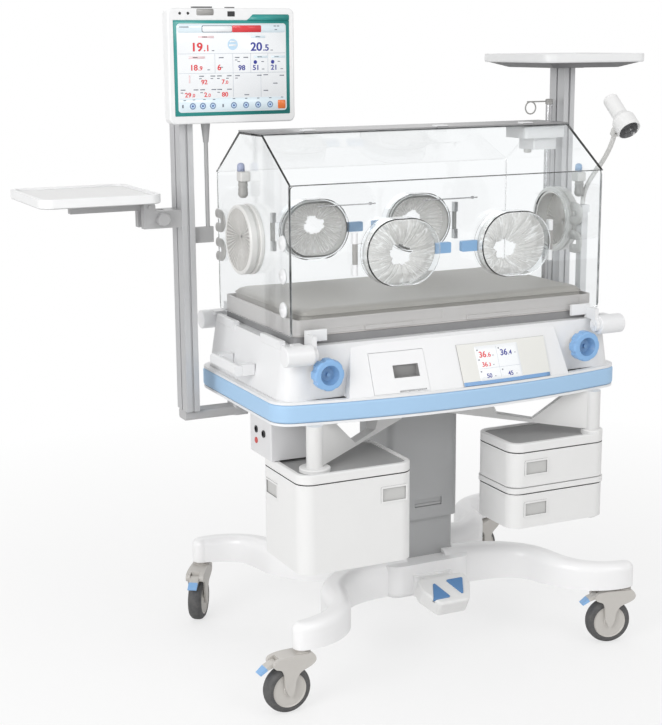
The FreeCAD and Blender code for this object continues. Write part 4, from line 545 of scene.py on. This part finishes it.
def tank_zone(p, n):
    """Painted shade: the insides of the finger grip and of the drain slot are painted darker."""
    behind = p.y > panel_y(p.x, p.z) + 0.6
    grip = -201 < p.x < -128 and 815.5 < p.z < 847.5 and p.y < -265
    drain = -192 < p.x < -115 and 781 < p.z < 786 and p.y < -285
    if behind and grip:
        return "grip_grey"
    return "socket_black" if behind and drain else "shell_white"


def knob_zone(p, x):
    """A white shaft, and a blue knob whose dished middle is painted darker: painted shade in the dish."""
    shaft = p.y > -281
    dish = p.y > -307 and math.hypot(p.x - x, p.z - KNOB_Z) < 26
    if shaft:
        return "shell_white"
    return "knob_dish" if dish else "knob_blue"


def socket_zone(p, n):
    """Three round probe sockets on the module's outer face."""
    sockets = [(-96, 671, 10, "socket_black"), (-146, 669, 10, "socket_black"), (-96, 641, 8.5, "socket_red")]
    for y, z, radius, finish in sockets:
        away = math.hypot(p.y - y, p.z - z)
        if away < radius and (p.x < -500.3 or away < 7):
            return finish
    return "module_white"


def dress_hood():
    zones("hood", ["clear_acrylic", "acrylic_edge"], hood_zone)
    zones("top_strip", ["strip_grey", "shell_white"],
          lambda p, n: "shell_white" if p.z > 1433.5 else "strip_grey")
    for end, sign in (("front", -1), ("rear", 1)):
        zones(f"{end}_door", ["clear_acrylic", "shell_white", "steel", "ring_grey"],
              lambda p, n, s=sign: door_zone(p, s))
    for corner in CORNERS:
        zones(f"port_door_{corner}", ["clear_acrylic", "latch_blue", "clamp_grey"], port_zone)
    zones("air_module", ["shell_white", "niche_grey"],
          lambda p, n: "niche_grey" if p.z < 1357 else "shell_white")


def hood_zone(p, n):
    """The cut edges of the hood's sheets are paler than their faces: partly a cloudy cut edge, partly painted
    light.
    """
    end_edge = abs(n.y) > 0.9 and abs(p.x) > 456 and p.z < 1316
    foot_edge = n.z < -0.9 and not 940 < p.z < 1306
    return "acrylic_edge" if end_edge or foot_edge else "clear_acrylic"


def door_zone(p, sign):
    """White hinges, a steel grab rod, and grey collars at the rear, on a clear sheet."""
    out = sign * p.y
    port_hinge = 275 < abs(p.x) < 305 and 1075 < p.z < 1195 and out > 245.2
    door_hinge = 368 < abs(p.x) < 430 and p.z < 953 and out > 245.1
    collar = abs(abs(p.x) - PORT_X) < 112 and abs(p.z - PORT_Z) < 95 and out > 247
    grab_rod = 1190 < p.z < 1210 and out < 238.8
    if port_hinge or door_hinge:
        return "shell_white"
    if collar and sign > 0:
        return "ring_grey"
    return "steel" if grab_rod else "clear_acrylic"


def port_zone(p, n):
    """A blue latch towards the door's middle and a grey hinge on the outside of the clear cover."""
    latch = abs(p.x) < 60 and 1120 < p.z < 1152
    hinge = abs(p.x) > 283
    if latch:
        return "latch_blue"
    return "clamp_grey" if hinge else "clear_acrylic"


def dress_masts():
    zones("masts", ["mast_metal", "steel", "arm_metal"], mast_zone)
    zones("side_shelf", ["monitor_white", "shelf_top", "arm_metal"],
          lambda p, n: shelf_zone(n, p.z, 1278, 1261))
    zones("top_shelf", ["monitor_white", "shelf_top", "dark_grey"],
          lambda p, n: "dark_grey" if p.z < 1593.8 else shelf_zone(n, p.z, 1613, 1593))
    zones("monitor", ["monitor_white", "dark_grey"],
          lambda p, n: "dark_grey" if p.z > 1743.2 else "monitor_white")
    zones("lamp_arm", ["niche_grey", "shell_white"],
          lambda p, n: "shell_white" if p.z < 1207 else "niche_grey")
    dress_lamp()


def mast_zone(p, n):
    """The hook pole's tube is steel. Its holders and the lowest bars are darker than the masts."""
    tube = 533 < p.x < 565 and p.z > 740
    holder = 530 < p.x < 577
    low_bar = p.z < 680.5
    if tube:
        return "steel"
    return "arm_metal" if holder or low_bar else "mast_metal"


def shelf_zone(n, z, top, bottom):
    """A shelf's sunken top is a little darker than its rim, and its underside is grey."""
    if z < bottom:
        return "arm_metal"
    return "shelf_top" if n.z > 0.9 and z < top + 1 else "monitor_white"


def dress_lamp():
    """The lens and the inside of the bell are dark."""
    tilt, bell_radius = math.radians(131), 28
    axis = Vector((0, -math.sin(tilt), math.cos(tilt)))
    faces = [face for face in NODES["lamp_head"].data.polygons if face.normal.dot(axis) > 0.99]
    area = sum(face.area for face in faces)
    middle = sum((face.center * face.area for face in faces), Vector()) / area / MM

    def choose(p, n):
        along = (p - middle).dot(axis)
        aside = (p - middle - axis * along).length
        return "lens_dark" if along > -1 and aside < bell_radius else "lamp_white"

    zones("lamp_head", ["lamp_white", "lens_dark"], choose)


# Tools for new pieces

def face_forward(build):
    """Turn flat marks to the front; closed plates keep their own backs."""
    flat = [face for face in build.faces if face.normal.y > 0.9
            and all(abs(other.normal.y) > 0.9 for edge in face.edges for other in edge.link_faces)]
    bmesh.ops.reverse_faces(build, faces=flat)


def piece(name, build, finish, body, slot, smooth=True, bevel=0.0):
    """Turn a bmesh in millimetres into a finished object at the origin."""
    bmesh.ops.scale(build, vec=(MM, MM, MM), verts=build.verts)
    bmesh.ops.remove_doubles(build, verts=build.verts, dist=1e-7)
    bmesh.ops.recalc_face_normals(build, faces=build.faces)
    if not smooth:
        face_forward(build)
    mesh = bpy.data.meshes.new(name)
    build.to_mesh(mesh)
    build.free()
    mesh.materials.append(FINISH[finish])
    made = bpy.data.objects.new(name, mesh)
    bpy.context.scene.collection.objects.link(made)
    if smooth:
        mesh.shade_smooth()
    if bevel:
        edge = made.modifiers.new("edge", "BEVEL")
        edge.width = bevel * MM
        edge.segments = 2
        edge.limit_method = "ANGLE"
        edge.harden_normals = True
    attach(made, body)
    return made


def edges_of(verts):
    """All edges that meet these corners."""
    return list({edge for vert in verts for edge in vert.link_edges})


def block(build, middle, size):
    """A box of a size about its middle."""
    verts = bmesh.ops.create_cube(build, size=1)["verts"]
    bmesh.ops.scale(build, vec=size, verts=verts)
    bmesh.ops.translate(build, vec=middle, verts=verts)
    return verts


def round_edges(build, edges, radius, segments):
    bmesh.ops.bevel(build, geom=edges, offset=radius, segments=segments, affect="EDGES", profile=0.5,
                    material=-1)


def turned(build, spot, profile, steps=28, foot=0):
    """A turned shape that stands on a spot: profile is (radius, height)."""
    ring = [build.verts.new((spot[0] + radius, spot[1], foot + height)) for radius, height in profile]
    edges = [build.edges.new(pair) for pair in zip(ring, ring[1:])]
    bmesh.ops.spin(build, geom=ring + edges, cent=(*spot, 0), axis=(0, 0, 1), angle=2 * math.pi,
                   steps=steps, use_merge=True)


def join_rows(build, rows):
    """Fill in faces between each row of edges and the next."""
    for first, second in zip(rows, rows[1:]):
        bmesh.ops.bridge_loops(build, edges=first + second)


def sweep(build, path, ways, normal, wide, high, segments):
    """Rows of edges for an oval strip along a path, across which normal points."""
    rows = []
    for point, along in zip(path, ways):
        side = along.normalized().cross(normal)
        circle = bmesh.ops.create_circle(build, cap_ends=False, segments=segments, radius=1)["verts"]
        for vert in circle:
            vert.co = point + side * vert.co.x * wide + normal * vert.co.y * high
        rows.append(edges_of(circle))
    return rows


# Plates and numbers on the control panel and the monitor

PANEL = ("deck", "display_grey")
MONITOR = ("monitor", "monitor_grey")


def panel_y(x, z):
    """The control panel's curved, leaning face."""
    share = (z - PANEL_FOOT_Z) / PANEL_HEIGHT
    half = 330 - 25 * share
    bow = 20 * (1 - 0.8 * share)
    return -322 + 58 * share + bow * (x / half) ** 2


def on_panel(lift):
    return lambda x, z, depth=0.0: Vector((x, panel_y(x, z) - lift - depth, z))


def on_monitor(lift):
    return lambda x, z, depth=0.0: Vector((x, MONITOR_FACE_Y - lift - depth, z))


def patch(build, place, spot, thick, steps=1, corner=0.0):
    """A thin plate that follows a face: spot is its left, right, foot and top."""
    x0, x1, z0, z1 = spot
    known = set(build.verts)
    flat = bmesh.ops.create_grid(build, x_segments=steps, y_segments=max(1, steps // 2), size=0.5)["verts"]
    for vert in flat:
        vert.co = Vector((x0 + (vert.co.x + 0.5) * (x1 - x0), 0, z0 + (vert.co.y + 0.5) * (z1 - z0)))
    if corner:
        corners = [v for v in flat if len(v.link_edges) == 2]
        bmesh.ops.bevel(build, geom=corners, offset=corner, segments=5, affect="VERTICES", profile=0.5,
                        material=-1)
    faces = {face for vert in build.verts if vert not in known for face in vert.link_faces}
    grown = bmesh.ops.extrude_face_region(build, geom=list(faces))
    raised = {item for item in grown["geom"] if isinstance(item, bmesh.types.BMVert)}
    for vert in build.verts:
        if vert not in known:
            vert.co = place(vert.co.x, vert.co.z, thick if vert in raised else 0.0)


def plates(name, finish, place, spots, thick, holder=MONITOR, steps=1, corner=0.0):
    """Thin plates that make one piece."""
    build = bmesh.new()
    for spot in spots:
        patch(build, place, spot, thick, steps, corner)
    piece(name, build, finish, *holder)


def bars(spots, wide, high):
    """Plates of one size, from their lower left corners."""
    return [(x, x + wide, z, z + high) for x, z in spots]


def discs(build, spots, radius, lift, inner=0.0):
    """Flat round marks on the monitor, or rings where there is an inner radius."""
    for x, z in spots:
        made = bmesh.ops.create_circle(build, cap_ends=True, segments=28, radius=radius)["verts"]
        face = next(iter(made[0].link_faces))
        ring = list(made)
        if inner:
            bmesh.ops.inset_region(build, faces=[face], thickness=radius - inner, depth=0)
            ring += [v for v in face.verts if v not in made]
            bmesh.ops.delete(build, geom=[face], context="FACES_ONLY")
        for vert in ring:
            vert.co = on_monitor(lift)(x + vert.co.x, z + vert.co.y)


def round_marks(name, finish, *groups):
    """Discs that make one piece: each group is its spots, radius and lift."""
    build = bmesh.new()
    for group in groups:
        discs(build, *group)
    piece(name, build, finish, *MONITOR, smooth=False)


def figure(text, size):
    """The outline of a number as a flat mesh, its left end at the origin."""
    curve = bpy.data.curves.new("figure", "FONT")
    curve.body = text
    curve.size = size
    curve.offset = size * 0.018
    holder = bpy.data.objects.new("figure", curve)
    bpy.context.scene.collection.objects.link(holder)
    bpy.context.view_layer.update()
    mesh = bpy.data.meshes.new_from_object(holder.evaluated_get(bpy.context.evaluated_depsgraph_get()))
    bpy.data.objects.remove(holder)
    return mesh


def set_number(build, place, text, x, z, size):
    """Set a number twice, a hair apart, which makes its strokes bolder."""
    for shift in (0, 0.03 * size):
        start = len(build.verts)
        mesh = figure(text, size)
        build.from_mesh(mesh)
        bpy.data.meshes.remove(mesh)
        build.verts.ensure_lookup_table()
        for vert in build.verts[start:]:
            vert.co = place(x + shift + vert.co.x * 1.08, z + vert.co.y, shift * 0.02)


def readings(name, finish, place, numbers, size, holder=MONITOR):
    """Plain numbers, with smaller figures after the point, as screens show them."""
    build = bmesh.new()
    for text, x, z in numbers:
        whole, point, rest = text.partition(".")
        set_number(build, place, whole, x, z, size)
        if point:
            set_number(build, place, point + rest, x + size * 0.58 * len(whole), z, size * 0.74)
    piece(name, build, finish, *holder, smooth=False)


def control_display():
    plates("control_screen", "screen", on_panel(3.0), [(44, 177, 787, 872)], 0.5, PANEL, 16, corner=2.5)
    plates("control_strip", "strip_blue", on_panel(3.0), [(-7.6, 265.6, 778.2, 787.5)], 0.45,
           ("deck", "bumper_blue"), 16)
    ink = on_panel(3.75)
    readings("control_big_red", "ink_red", ink, [("36.6", 53, 844)], 21, PANEL)
    readings("control_mid_red", "ink_red", ink, [("36.3", 57, 821)], 16, PANEL)
    readings("control_big_blue", "ink_blue", ink, [("36.4", 119, 844)], 21, PANEL)
    readings("control_small_blue", "ink_blue", ink, [("50", 65, 793), ("45", 132, 793)], 15, PANEL)
    captions = bars([(49, 861), (49, 837), (49, 808), (115, 861), (115, 808)], 4, 3)
    captions += bars([(94, 846), (164, 847), (91, 823), (90, 795), (157, 795)], 4, 1.6)
    plates("control_captions", "ink_grey", on_panel(3.6), captions, 0.15, PANEL)
    rules = [(109, 109.7, 792, 868), (48, 174, 816, 816.7)]
    plates("control_marks", "ink_line", on_panel(3.6), rules, 0.12, PANEL, 8)


def monitor_frame():
    """The coloured border with its raised tab, the screen, and its two pale bands."""
    build = bmesh.new()
    patch(build, on_monitor(0.0), (-645, -322, 1473, 1713), 0.5, corner=5)
    tab = [(-441, 1713), (-425, 1727.4), (-326, 1727.4), (-323, 1724), (-323, 1713)]
    corners = [build.verts.new(on_monitor(1.1)(x, z)) for x, z in tab]
    grown = bmesh.ops.extrude_face_region(build, geom=[build.faces.new(corners)])
    raised = [item for item in grown["geom"] if isinstance(item, bmesh.types.BMVert)]
    bmesh.ops.translate(build, vec=(0, -0.5, 0), verts=raised)
    piece("monitor_border", build, "teal", *MONITOR)
    plates("monitor_screen", "screen", on_monitor(0.5), [(-633.5, -332.5, 1482.5, 1704.5)], 0.3, corner=8)
    bands = [(-632, -334, 1681.5, 1703), (-632, -334, 1484, 1517.5)]
    plates("monitor_bands", "ink_pale", on_monitor(0.8), bands, 0.08, corner=6)


def monitor_numbers():
    ink = on_monitor(1.05)
    small_red = [("92", -571, 1553), ("7.0", -515, 1553), ("29.0", -616, 1521), ("2.0", -564, 1521),
                 ("80", -515, 1521)]
    readings("monitor_big_red", "ink_red", ink, [("19.1", -597, 1636)], 30)
    readings("monitor_mid_red", "ink_red", ink, [("18.9", -601, 1588), ("6", -526, 1588)], 20)
    readings("monitor_small_red", "ink_red", ink, small_red, 16)
    readings("monitor_big_blue", "ink_blue", ink, [("20.5", -433, 1636)], 30)
    mid_blue = [("98", -468, 1587), ("51", -428, 1587), ("21", -377, 1587)]
    readings("monitor_mid_blue", "ink_blue", ink, mid_blue, 18)


def monitor_captions():
    """Thin rules between the readings, and plain bars where the real screen has its captions."""
    rules = [(-631, -335, 1629, 1630), (-631, -335, 1580, 1581), (-532.5, -531.5, 1581, 1629),
             (-483, -482, 1519, 1629), (-433.5, -432.5, 1581, 1629), (-385, -384, 1581, 1629),
             (-405.5, -404.5, 1519, 1580)]
    long_bars = [(-565, 1670), (-418, 1670), (-592, 1619), (-521, 1618), (-477, 1618), (-453, 1618),
                 (-414, 1619), (-366, 1619), (-576, 1572), (-545, 1572), (-527, 1572), (-500, 1572),
                 (-477, 1572), (-416, 1572), (-398, 1573), (-352, 1571), (-627, 1538), (-592, 1538),
                 (-574, 1538), (-543, 1538), (-527, 1538), (-500, 1538), (-452, 1523), (-398, 1533),
                 (-371, 1551), (-627, 1695), (-614, 1695)]
    short_bars = [(-540, 1636), (-377, 1636), (-553, 1588), (-517, 1594), (-470, 1608), (-477, 1612),
                  (-402, 1588), (-349, 1588), (-403, 1607), (-357, 1607), (-576, 1566), (-527, 1566),
                  (-545, 1566), (-502, 1566), (-477, 1566), (-627, 1531), (-574, 1531), (-527, 1531),
                  (-620, 1512), (-595, 1513), (-567, 1513), (-540, 1513), (-485, 1514), (-451, 1514),
                  (-417, 1514), (-383, 1514), (-349, 1515), (-367, 1697), (-358, 1697), (-364, 1688)]
    face = on_monitor(0.95)
    plates("monitor_lines", "ink_line", on_monitor(0.9), rules, 0.08)
    plates("monitor_pills_pink", "ink_pink", face, bars([(-577, 1668), (-603, 1617)], 44, 6), 0.1)
    pills = bars([(-431, 1668), (-424, 1617), (-375, 1617)], 40, 6)
    plates("monitor_pills_blue", "ink_pale", face, pills, 0.1)
    plates("monitor_captions", "ink_grey", face, bars(long_bars, 13, 2.4), 0.1)
    plates("monitor_small_captions", "ink_grey", face, bars(short_bars, 7, 2), 0.1)


def monitor_icons():
    """Plain discs, rings and bars where the real screen has its icons."""
    round_marks("monitor_round", "ink_sky", ([(-482, 1652)], 14, 0.95))
    build = bmesh.new()
    patch(build, on_monitor(1.0), (-492, -472, 1648, 1652.5), 0.1)
    patch(build, on_monitor(1.0), (-490, -474, 1658, 1661), 0.1)
    patch(build, on_monitor(1.0), (-564, -483, 1684, 1698.5), 0.1, corner=4)
    piece("monitor_white_marks", build, "screen", *MONITOR)
    build = bmesh.new()
    patch(build, on_monitor(0.92), (-566, -481, 1682.5, 1700), 0.08, corner=4)
    discs(build, [(-609, 1648), (-446, 1647), (-606, 1595)], 6.5, 1.0, 4.2)
    discs(build, [(-592.5, 1691.5)], 5, 1.0, 3.8)
    for spot in bars([(-514, 1494), (-624, 1494)], 4, 8):
        patch(build, on_monitor(1.0), spot, 0.1)
    piece("monitor_dark_marks", build, "ink_grey", *MONITOR, smooth=False)
    plates("monitor_alert_bar", "ink_red", on_monitor(0.92), [(-483, -402, 1682.5, 1700)], 0.14, corner=3)
    plates("monitor_gauge", "ink_pink", on_monitor(0.95), [(-604, -600, 1556, 1576)], 0.1)


def monitor_buttons():
    """Round buttons along the bottom with a square one at their end, and a dot in two readings."""
    buttons = [(x, 1498) for x in (-595, -567.5, -540, -482, -448, -414, -380)]
    dots = [(-420, 1607), (-371, 1607)]
    square = [(-358, -336, 1486.5, 1509)]
    round_marks("monitor_buttons", "ink_icon", (buttons, 8.4, 1.0))
    round_marks("monitor_button_middles", "ink_sky", (buttons, 5.2, 1.1))
    round_marks("monitor_button_dots", "ink_blue", (buttons, 2.6, 1.2), (dots, 5, 1.0))
    plates("monitor_stop_button", "ink_orange", on_monitor(0.95), square, 0.15, corner=3)


def monitor_top():
    """Two small eyes, a grey lamp and a dark window on the bezel over the screen."""
    plates("monitor_lamp", "clamp_grey", on_monitor(1.1), [(-579, -533, 1725, 1741)], 0.8, corner=3)
    build = bmesh.new()
    patch(build, on_monitor(1.1), (-495, -475, 1722, 1735), 0.6, corner=1.5)
    discs(build, [(-624, 1730), (-602, 1730)], 3.6, 1.6)
    piece("monitor_window", build, "socket_black", *MONITOR, smooth=False)


# Mattress

PAD_CORNER = 24
PIPING_RADIUS = 1.6
VOXEL = 0.007
CLOTH_FRAMES = 14


def mattress_pad():
    """A pad with rounded corners and edges, and two lines of piping round its sides."""
    low, high = (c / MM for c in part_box("mattress"))
    build = bmesh.new()
    block(build, (low + high) / 2, high - low - Vector((3, 3, 1.5)))
    upright = [e for e in build.edges if abs(e.verts[0].co.z - e.verts[1].co.z) > 1]
    round_edges(build, upright, PAD_CORNER, 6)
    level = [e for e in build.edges if abs(e.verts[0].co.z - e.verts[1].co.z) < 0.1
             and len(e.link_faces) == 2 and abs(e.calc_face_angle(0)) > 0.5]
    round_edges(build, level, 9, 4)
    pad = piece("mattress_pad", build, "coated_cloth", "bed", "mattress_cover")
    inflate(pad, cap=0.0035, floor=low.z * MM + 0.0002)
    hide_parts("mattress")
    welt = bmesh.new()
    for z in (low.z + 9, high.z - 11):
        edge_cord(welt, low, high, z)
    piece("mattress_piping", welt, "coated_cloth", "bed", "mattress_cover")


def edge_cord(build, low, high, z):
    """A thin cord of piping sewn round the pad."""
    path = []
    for count, (x, y) in enumerate(((high.x, high.y), (low.x, high.y), (low.x, low.y), (high.x, low.y))):
        centre = Vector((x - math.copysign(PAD_CORNER, x), y - math.copysign(PAD_CORNER, y), z))
        for step in range(7):
            angle = math.radians(count * 90 + step * 15)
            path.append(centre + Vector((math.cos(angle), math.sin(angle), 0)) * (PAD_CORNER - 1.5))
    ways = [path[(i + 1) % len(path)] - path[i - 1] for i in range(len(path))]
    rows = sweep(build, path, ways, Vector((0, 0, 1)), PIPING_RADIUS, PIPING_RADIUS, 8)
    join_rows(build, rows + rows[:1])


def inflate(pad, cap, floor):
    """Let pressure round the cover out, and keep it within a few millimetres of its cut."""
    scene = bpy.context.scene
    remesh = pad.modifiers.new("even", "REMESH")
    remesh.mode = "VOXEL"
    remesh.voxel_size = VOXEL
    apply_modifiers(pad)
    rest = [v.co.copy() for v in pad.data.vertices]
    pins = pad.vertex_groups.new(name="pins")
    for i, point in enumerate(rest):
        pins.add([i], 1.0 if point.z < floor + 0.004 else 0.0, "REPLACE")
    cloth = pad.modifiers.new("cover", "CLOTH")
    cloth.settings.use_pressure = True
    cloth.settings.uniform_pressure_force = 3
    cloth.settings.vertex_group_mass = "pins"
    cloth.settings.effector_weights.gravity = 0
    cloth.settings.quality = 4
    cloth.point_cache.frame_start = 1
    cloth.point_cache.frame_end = CLOTH_FRAMES
    for number in range(1, CLOTH_FRAMES + 1):
        scene.frame_set(number)
    moved = pad.evaluated_get(bpy.context.evaluated_depsgraph_get()).to_mesh()
    places = [v.co.copy() for v in moved.vertices]
    pad.modifiers.remove(cloth)
    scene.frame_set(1)
    for vert, start, place in zip(pad.data.vertices, rest, places):
        shift = place - start
        if shift.length > cap:
            shift *= cap / shift.length
        vert.co = start + shift
        vert.co.z = max(vert.co.z, floor)
    pad.data.shade_smooth()


def apply_modifiers(thing):
    bpy.context.view_layer.update()
    mesh = bpy.data.meshes.new_from_object(thing.evaluated_get(bpy.context.evaluated_depsgraph_get()))
    thing.modifiers.clear()
    thing.data = mesh


# Films of the hand ports and end ports

WRIST_SHIFT = {
    "front_left": (-4, -6), "front_right": (-30, -12), "rear_left": (8, 10), "rear_right": (-12, 6),
}
WRIST_HALF_WIDTH, WRIST_HALF_HEIGHT = 30, 25
SWELL, TUCK = 9, 13
RIM_SHARE = 0.9
PLEATS = 46
FILM_RADIUS = 80


def film_gauge(film):
    """Give a film its thickness."""
    thick = film.modifiers.new("gauge", "SOLIDIFY")
    thick.thickness = 0.0003
    thick.offset = 0


def oval(angle, radius, stretch):
    """A point of a round-ended oval, in the plane of the wall."""
    x, z = math.cos(angle) * radius, math.sin(angle) * radius
    return x + math.copysign(stretch / 2, x) * min(1.0, abs(math.cos(angle)) * 6), z


def film_folds(turn, reach, seed):
    """Height of the gathers at a point of the film, and how sharply it is creased there."""
    spot = Vector((math.cos(turn), math.sin(turn), 0))
    broad = abs(noise.noise(spot * 5.5 + Vector((0, 0, seed + reach * 0.9))))
    fine = abs(noise.noise(spot * 15 + Vector((3, 7, seed + reach * 0.7))))
    room = math.sin(math.pi * min(1.0, reach)) ** 0.7
    height = (7.0 * broad + 3.6 * fine) * room
    crease = max(0.0, 1 - broad / 0.09) + 0.8 * max(0.0, 1 - fine / 0.10) * min(1.0, 0.25 + reach)
    return height, min(1.0, crease)


def film_cuff(corner, seed):
    """Gathered film stretched over a collar: it swells outwards round a ragged wrist opening."""
    side, end = signs(corner)
    door = "front_door" if end < 0 else "rear_door"
    shift_x, shift_z = WRIST_SHIFT[corner]
    build = bmesh.new()
    creases = build.verts.layers.float.new("crease")
    for vert in bmesh.ops.create_grid(build, x_segments=230, y_segments=24, size=0.5)["verts"]:
        turn = (vert.co.x + 0.5) * 2 * math.pi
        reach = vert.co.y + 0.5
        spot = Vector((math.cos(turn), math.sin(turn), seed))
        ragged = 1 + 0.34 * noise.noise(spot * 1.9) + 0.16 * noise.noise(spot * 6)
        hole_x = shift_x + math.cos(turn) * WRIST_HALF_WIDTH * ragged
        hole_z = shift_z + math.sin(turn) * WRIST_HALF_HEIGHT * ragged
        rim_x, rim_z = oval(turn, COLLAR_RADIUS, COLLAR_STRETCH)
        share = min(1.0, reach / RIM_SHARE)
        height, crease = film_folds(turn, share, seed)
        out = COLLAR_LIP_Y + SWELL * math.sin(math.pi * min(1.0, share * 0.8 + 0.2)) + min(7.5, height)
        if reach > RIM_SHARE:
            out = COLLAR_LIP_Y - (reach - RIM_SHARE) / (1 - RIM_SHARE) * TUCK
            crease = 0.75
        vert[creases] = max(crease, 0.9 if reach < 0.03 else 0)
        x, z = hole_x + (rim_x - hole_x) * share, hole_z + (rim_z - hole_z) * share
        vert.co = Vector((side * PORT_X + x, end * out, PORT_Z + z))
    made = piece(f"film_cuff_{corner}", build, "film", door, "film")
    film_gauge(made)


def lay_on_end(build, side):
    """From lying flat at the origin to standing on an end wall of the hood."""
    turn = Matrix.Rotation(math.radians(90 * side), 4, "Y")
    bmesh.ops.transform(build, matrix=turn, verts=build.verts)
    bmesh.ops.translate(build, vec=(side * END_WALL_X, 0, END_PORT_Z), verts=build.verts)


def end_ring(side, name):
    """A grey ring with two lips."""
    build = bmesh.new()
    profile = [(74, 0), (90, 0), (92, 2), (92, 10), (90, 12), (86, 12), (86, 19), (89, 19), (91, 21),
               (91, 36), (88, 39), (84, 40), (80, 38), (80, 2)]
    turned(build, (0, 0), profile, steps=72)
    lay_on_end(build, side)
    return piece(f"end_ring_{name}", build, "ring_grey", "deck", "film", bevel=0.8)


def end_film(side, name):
    """A pleated film that closes off the ring's middle."""
    build = bmesh.new()
    creases = build.verts.layers.float.new("crease")
    segments = 288
    rows = [(3, 33), (12, 33), (26, 34), (42, 35), (58, 36.5), (70, 38), (78, 39), (83, 38), (84.5, 33)]
    for reach, lift in rows:
        inside = reach < FILM_RADIUS
        room = min(1, reach / 40) if inside else 0
        off_centre = 1 - min(1.0, reach / 78)
        for vert in bmesh.ops.create_circle(build, cap_ends=False, segments=segments, radius=reach)["verts"]:
            turn = math.atan2(vert.co.y, vert.co.x)
            sway = 1.5 * noise.noise(Vector((math.cos(turn) * 2, math.sin(turn) * 2, side)))
            pleat = math.sin(turn * PLEATS + sway * 2)
            vert[creases] = max(0.0, pleat) * (0.25 + 0.5 * room) if inside else 0.4
            height = lift + pleat * 1.2 * room + sway * room * 0.5
            vert.co = Vector((vert.co.x + 10 * off_centre, vert.co.y - 9 * off_centre, height))
    build.edges.ensure_lookup_table()
    join_rows(build, [build.edges[i * segments:(i + 1) * segments] for i in range(len(rows))])
    lay_on_end(build, side)
    film = piece(f"end_film_{name}", build, "pleat_film", "deck", "film")
    film_gauge(film)


# Small fittings on the hood's end walls

SLOT_BEND = 19


def edge_grommet(build, x, bend_y, open_y, middle_z):
    """A soft strip that bends round a slot and leaves it open at one side."""
    turn = math.copysign(1, open_y - bend_y)
    path = [Vector((x, open_y, middle_z + SLOT_BEND))]
    for step in range(13):
        angle = math.radians(90 + step * 15)
        across, up = SLOT_BEND * math.cos(angle), SLOT_BEND * math.sin(angle)
        path.append(Vector((x, bend_y + turn * across, middle_z + up)))
    path.append(Vector((x, open_y, middle_z - SLOT_BEND)))
    last = len(path) - 1
    ways = [path[min(last, i + 1)] - path[max(0, i - 1)] for i in range(last + 1)]
    rows = sweep(build, path, ways, Vector((1, 0, 0)), 12.5, 5.5, 14)
    join_rows(build, rows)
    bmesh.ops.holes_fill(build, edges=rows[0] + rows[-1], sides=0)


def edge_grommets():
    build = bmesh.new()
    for middle in (1182, 1103):
        edge_grommet(build, -470, 205, 231, middle)
        edge_grommet(build, 470, -118, -96, middle)
    piece("edge_grommets", build, "grommet", "deck", "film")


def tube_clamps():
    """A ribbed clamp with a soft tip on each end wall."""
    seats = bmesh.new()
    bodies = bmesh.new()
    ribs = [(0, -43), (7, -42), (12, -37), (13.5, -30), (12, -25), (13, -20), (11, -15), (13, -10), (12, -5),
            (12, 0), (0, 0)]
    dome = [(0, 26), (10, 26), (10, 38), (9, 43), (6, 46.5), (0, 48)]
    clamps = (("left", -1, 14, 1305, "tip_blue"), ("right", 1, -115, 1272, "latch_blue"))
    for name, side, y, foot, finish in clamps:
        seat = block(seats, Vector((side * 478, y, foot + 13)), Vector((28, 32, 26)))
        round_edges(seats, edges_of(seat), 4, 3)
        turned(bodies, (side * 480, y), ribs, foot=foot)
        tip = bmesh.new()
        turned(tip, (side * 482, y + 7), dome, foot=foot)
        piece(f"tube_clamp_tip_{name}", tip, finish, "deck", "knob_blue")
    piece("tube_clamp_seats", seats, "niche_grey", "deck", "module_grey", bevel=0.6)
    piece("tube_clamp_bodies", bodies, "clamp_grey", "deck", "module_grey")


def cable_grommets():
    build = bmesh.new()
    for z in (1168, 1085, 1000):
        known = set(build.verts)
        turned(build, (0, 0), [(0, 9), (6, 9), (7, 6.5), (16, 6.5), (19, 5), (20, 3), (20, 0), (0, 0)])
        fresh = [vert for vert in build.verts if vert not in known]
        bmesh.ops.transform(build, matrix=Matrix.Rotation(math.radians(-90), 4, "Y"), verts=fresh)
        bmesh.ops.translate(build, vec=(-END_WALL_X, -205, z), verts=fresh)
    piece("cable_grommets", build, "shell_white", "deck", "film")


# Put the scene together

aim_camera()
light_studio()
lay_floor()
for node, finish in ONE_FINISH.items():
    dress(node, finish)
for corner in CORNERS:
    dress_caster(corner)
dress_storage()
dress_deck()
dress_hood()
dress_masts()
control_display()
monitor_frame()
monitor_numbers()
monitor_captions()
monitor_icons()
monitor_buttons()
monitor_top()
mattress_pad()
for count, corner in enumerate(CORNERS):
    film_cuff(corner, 3.7 * count + 1)
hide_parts("front_cuffs")
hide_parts("rear_cuffs")
left_ring = end_ring(-1, "left")
end_film(-1, "left")
end_ring(1, "right")
end_film(1, "right")
edge_grommets()
tube_clamps()
cable_grommets()
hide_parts("end_irises")

bpy.context.scene.view_settings.view_transform = "Standard"
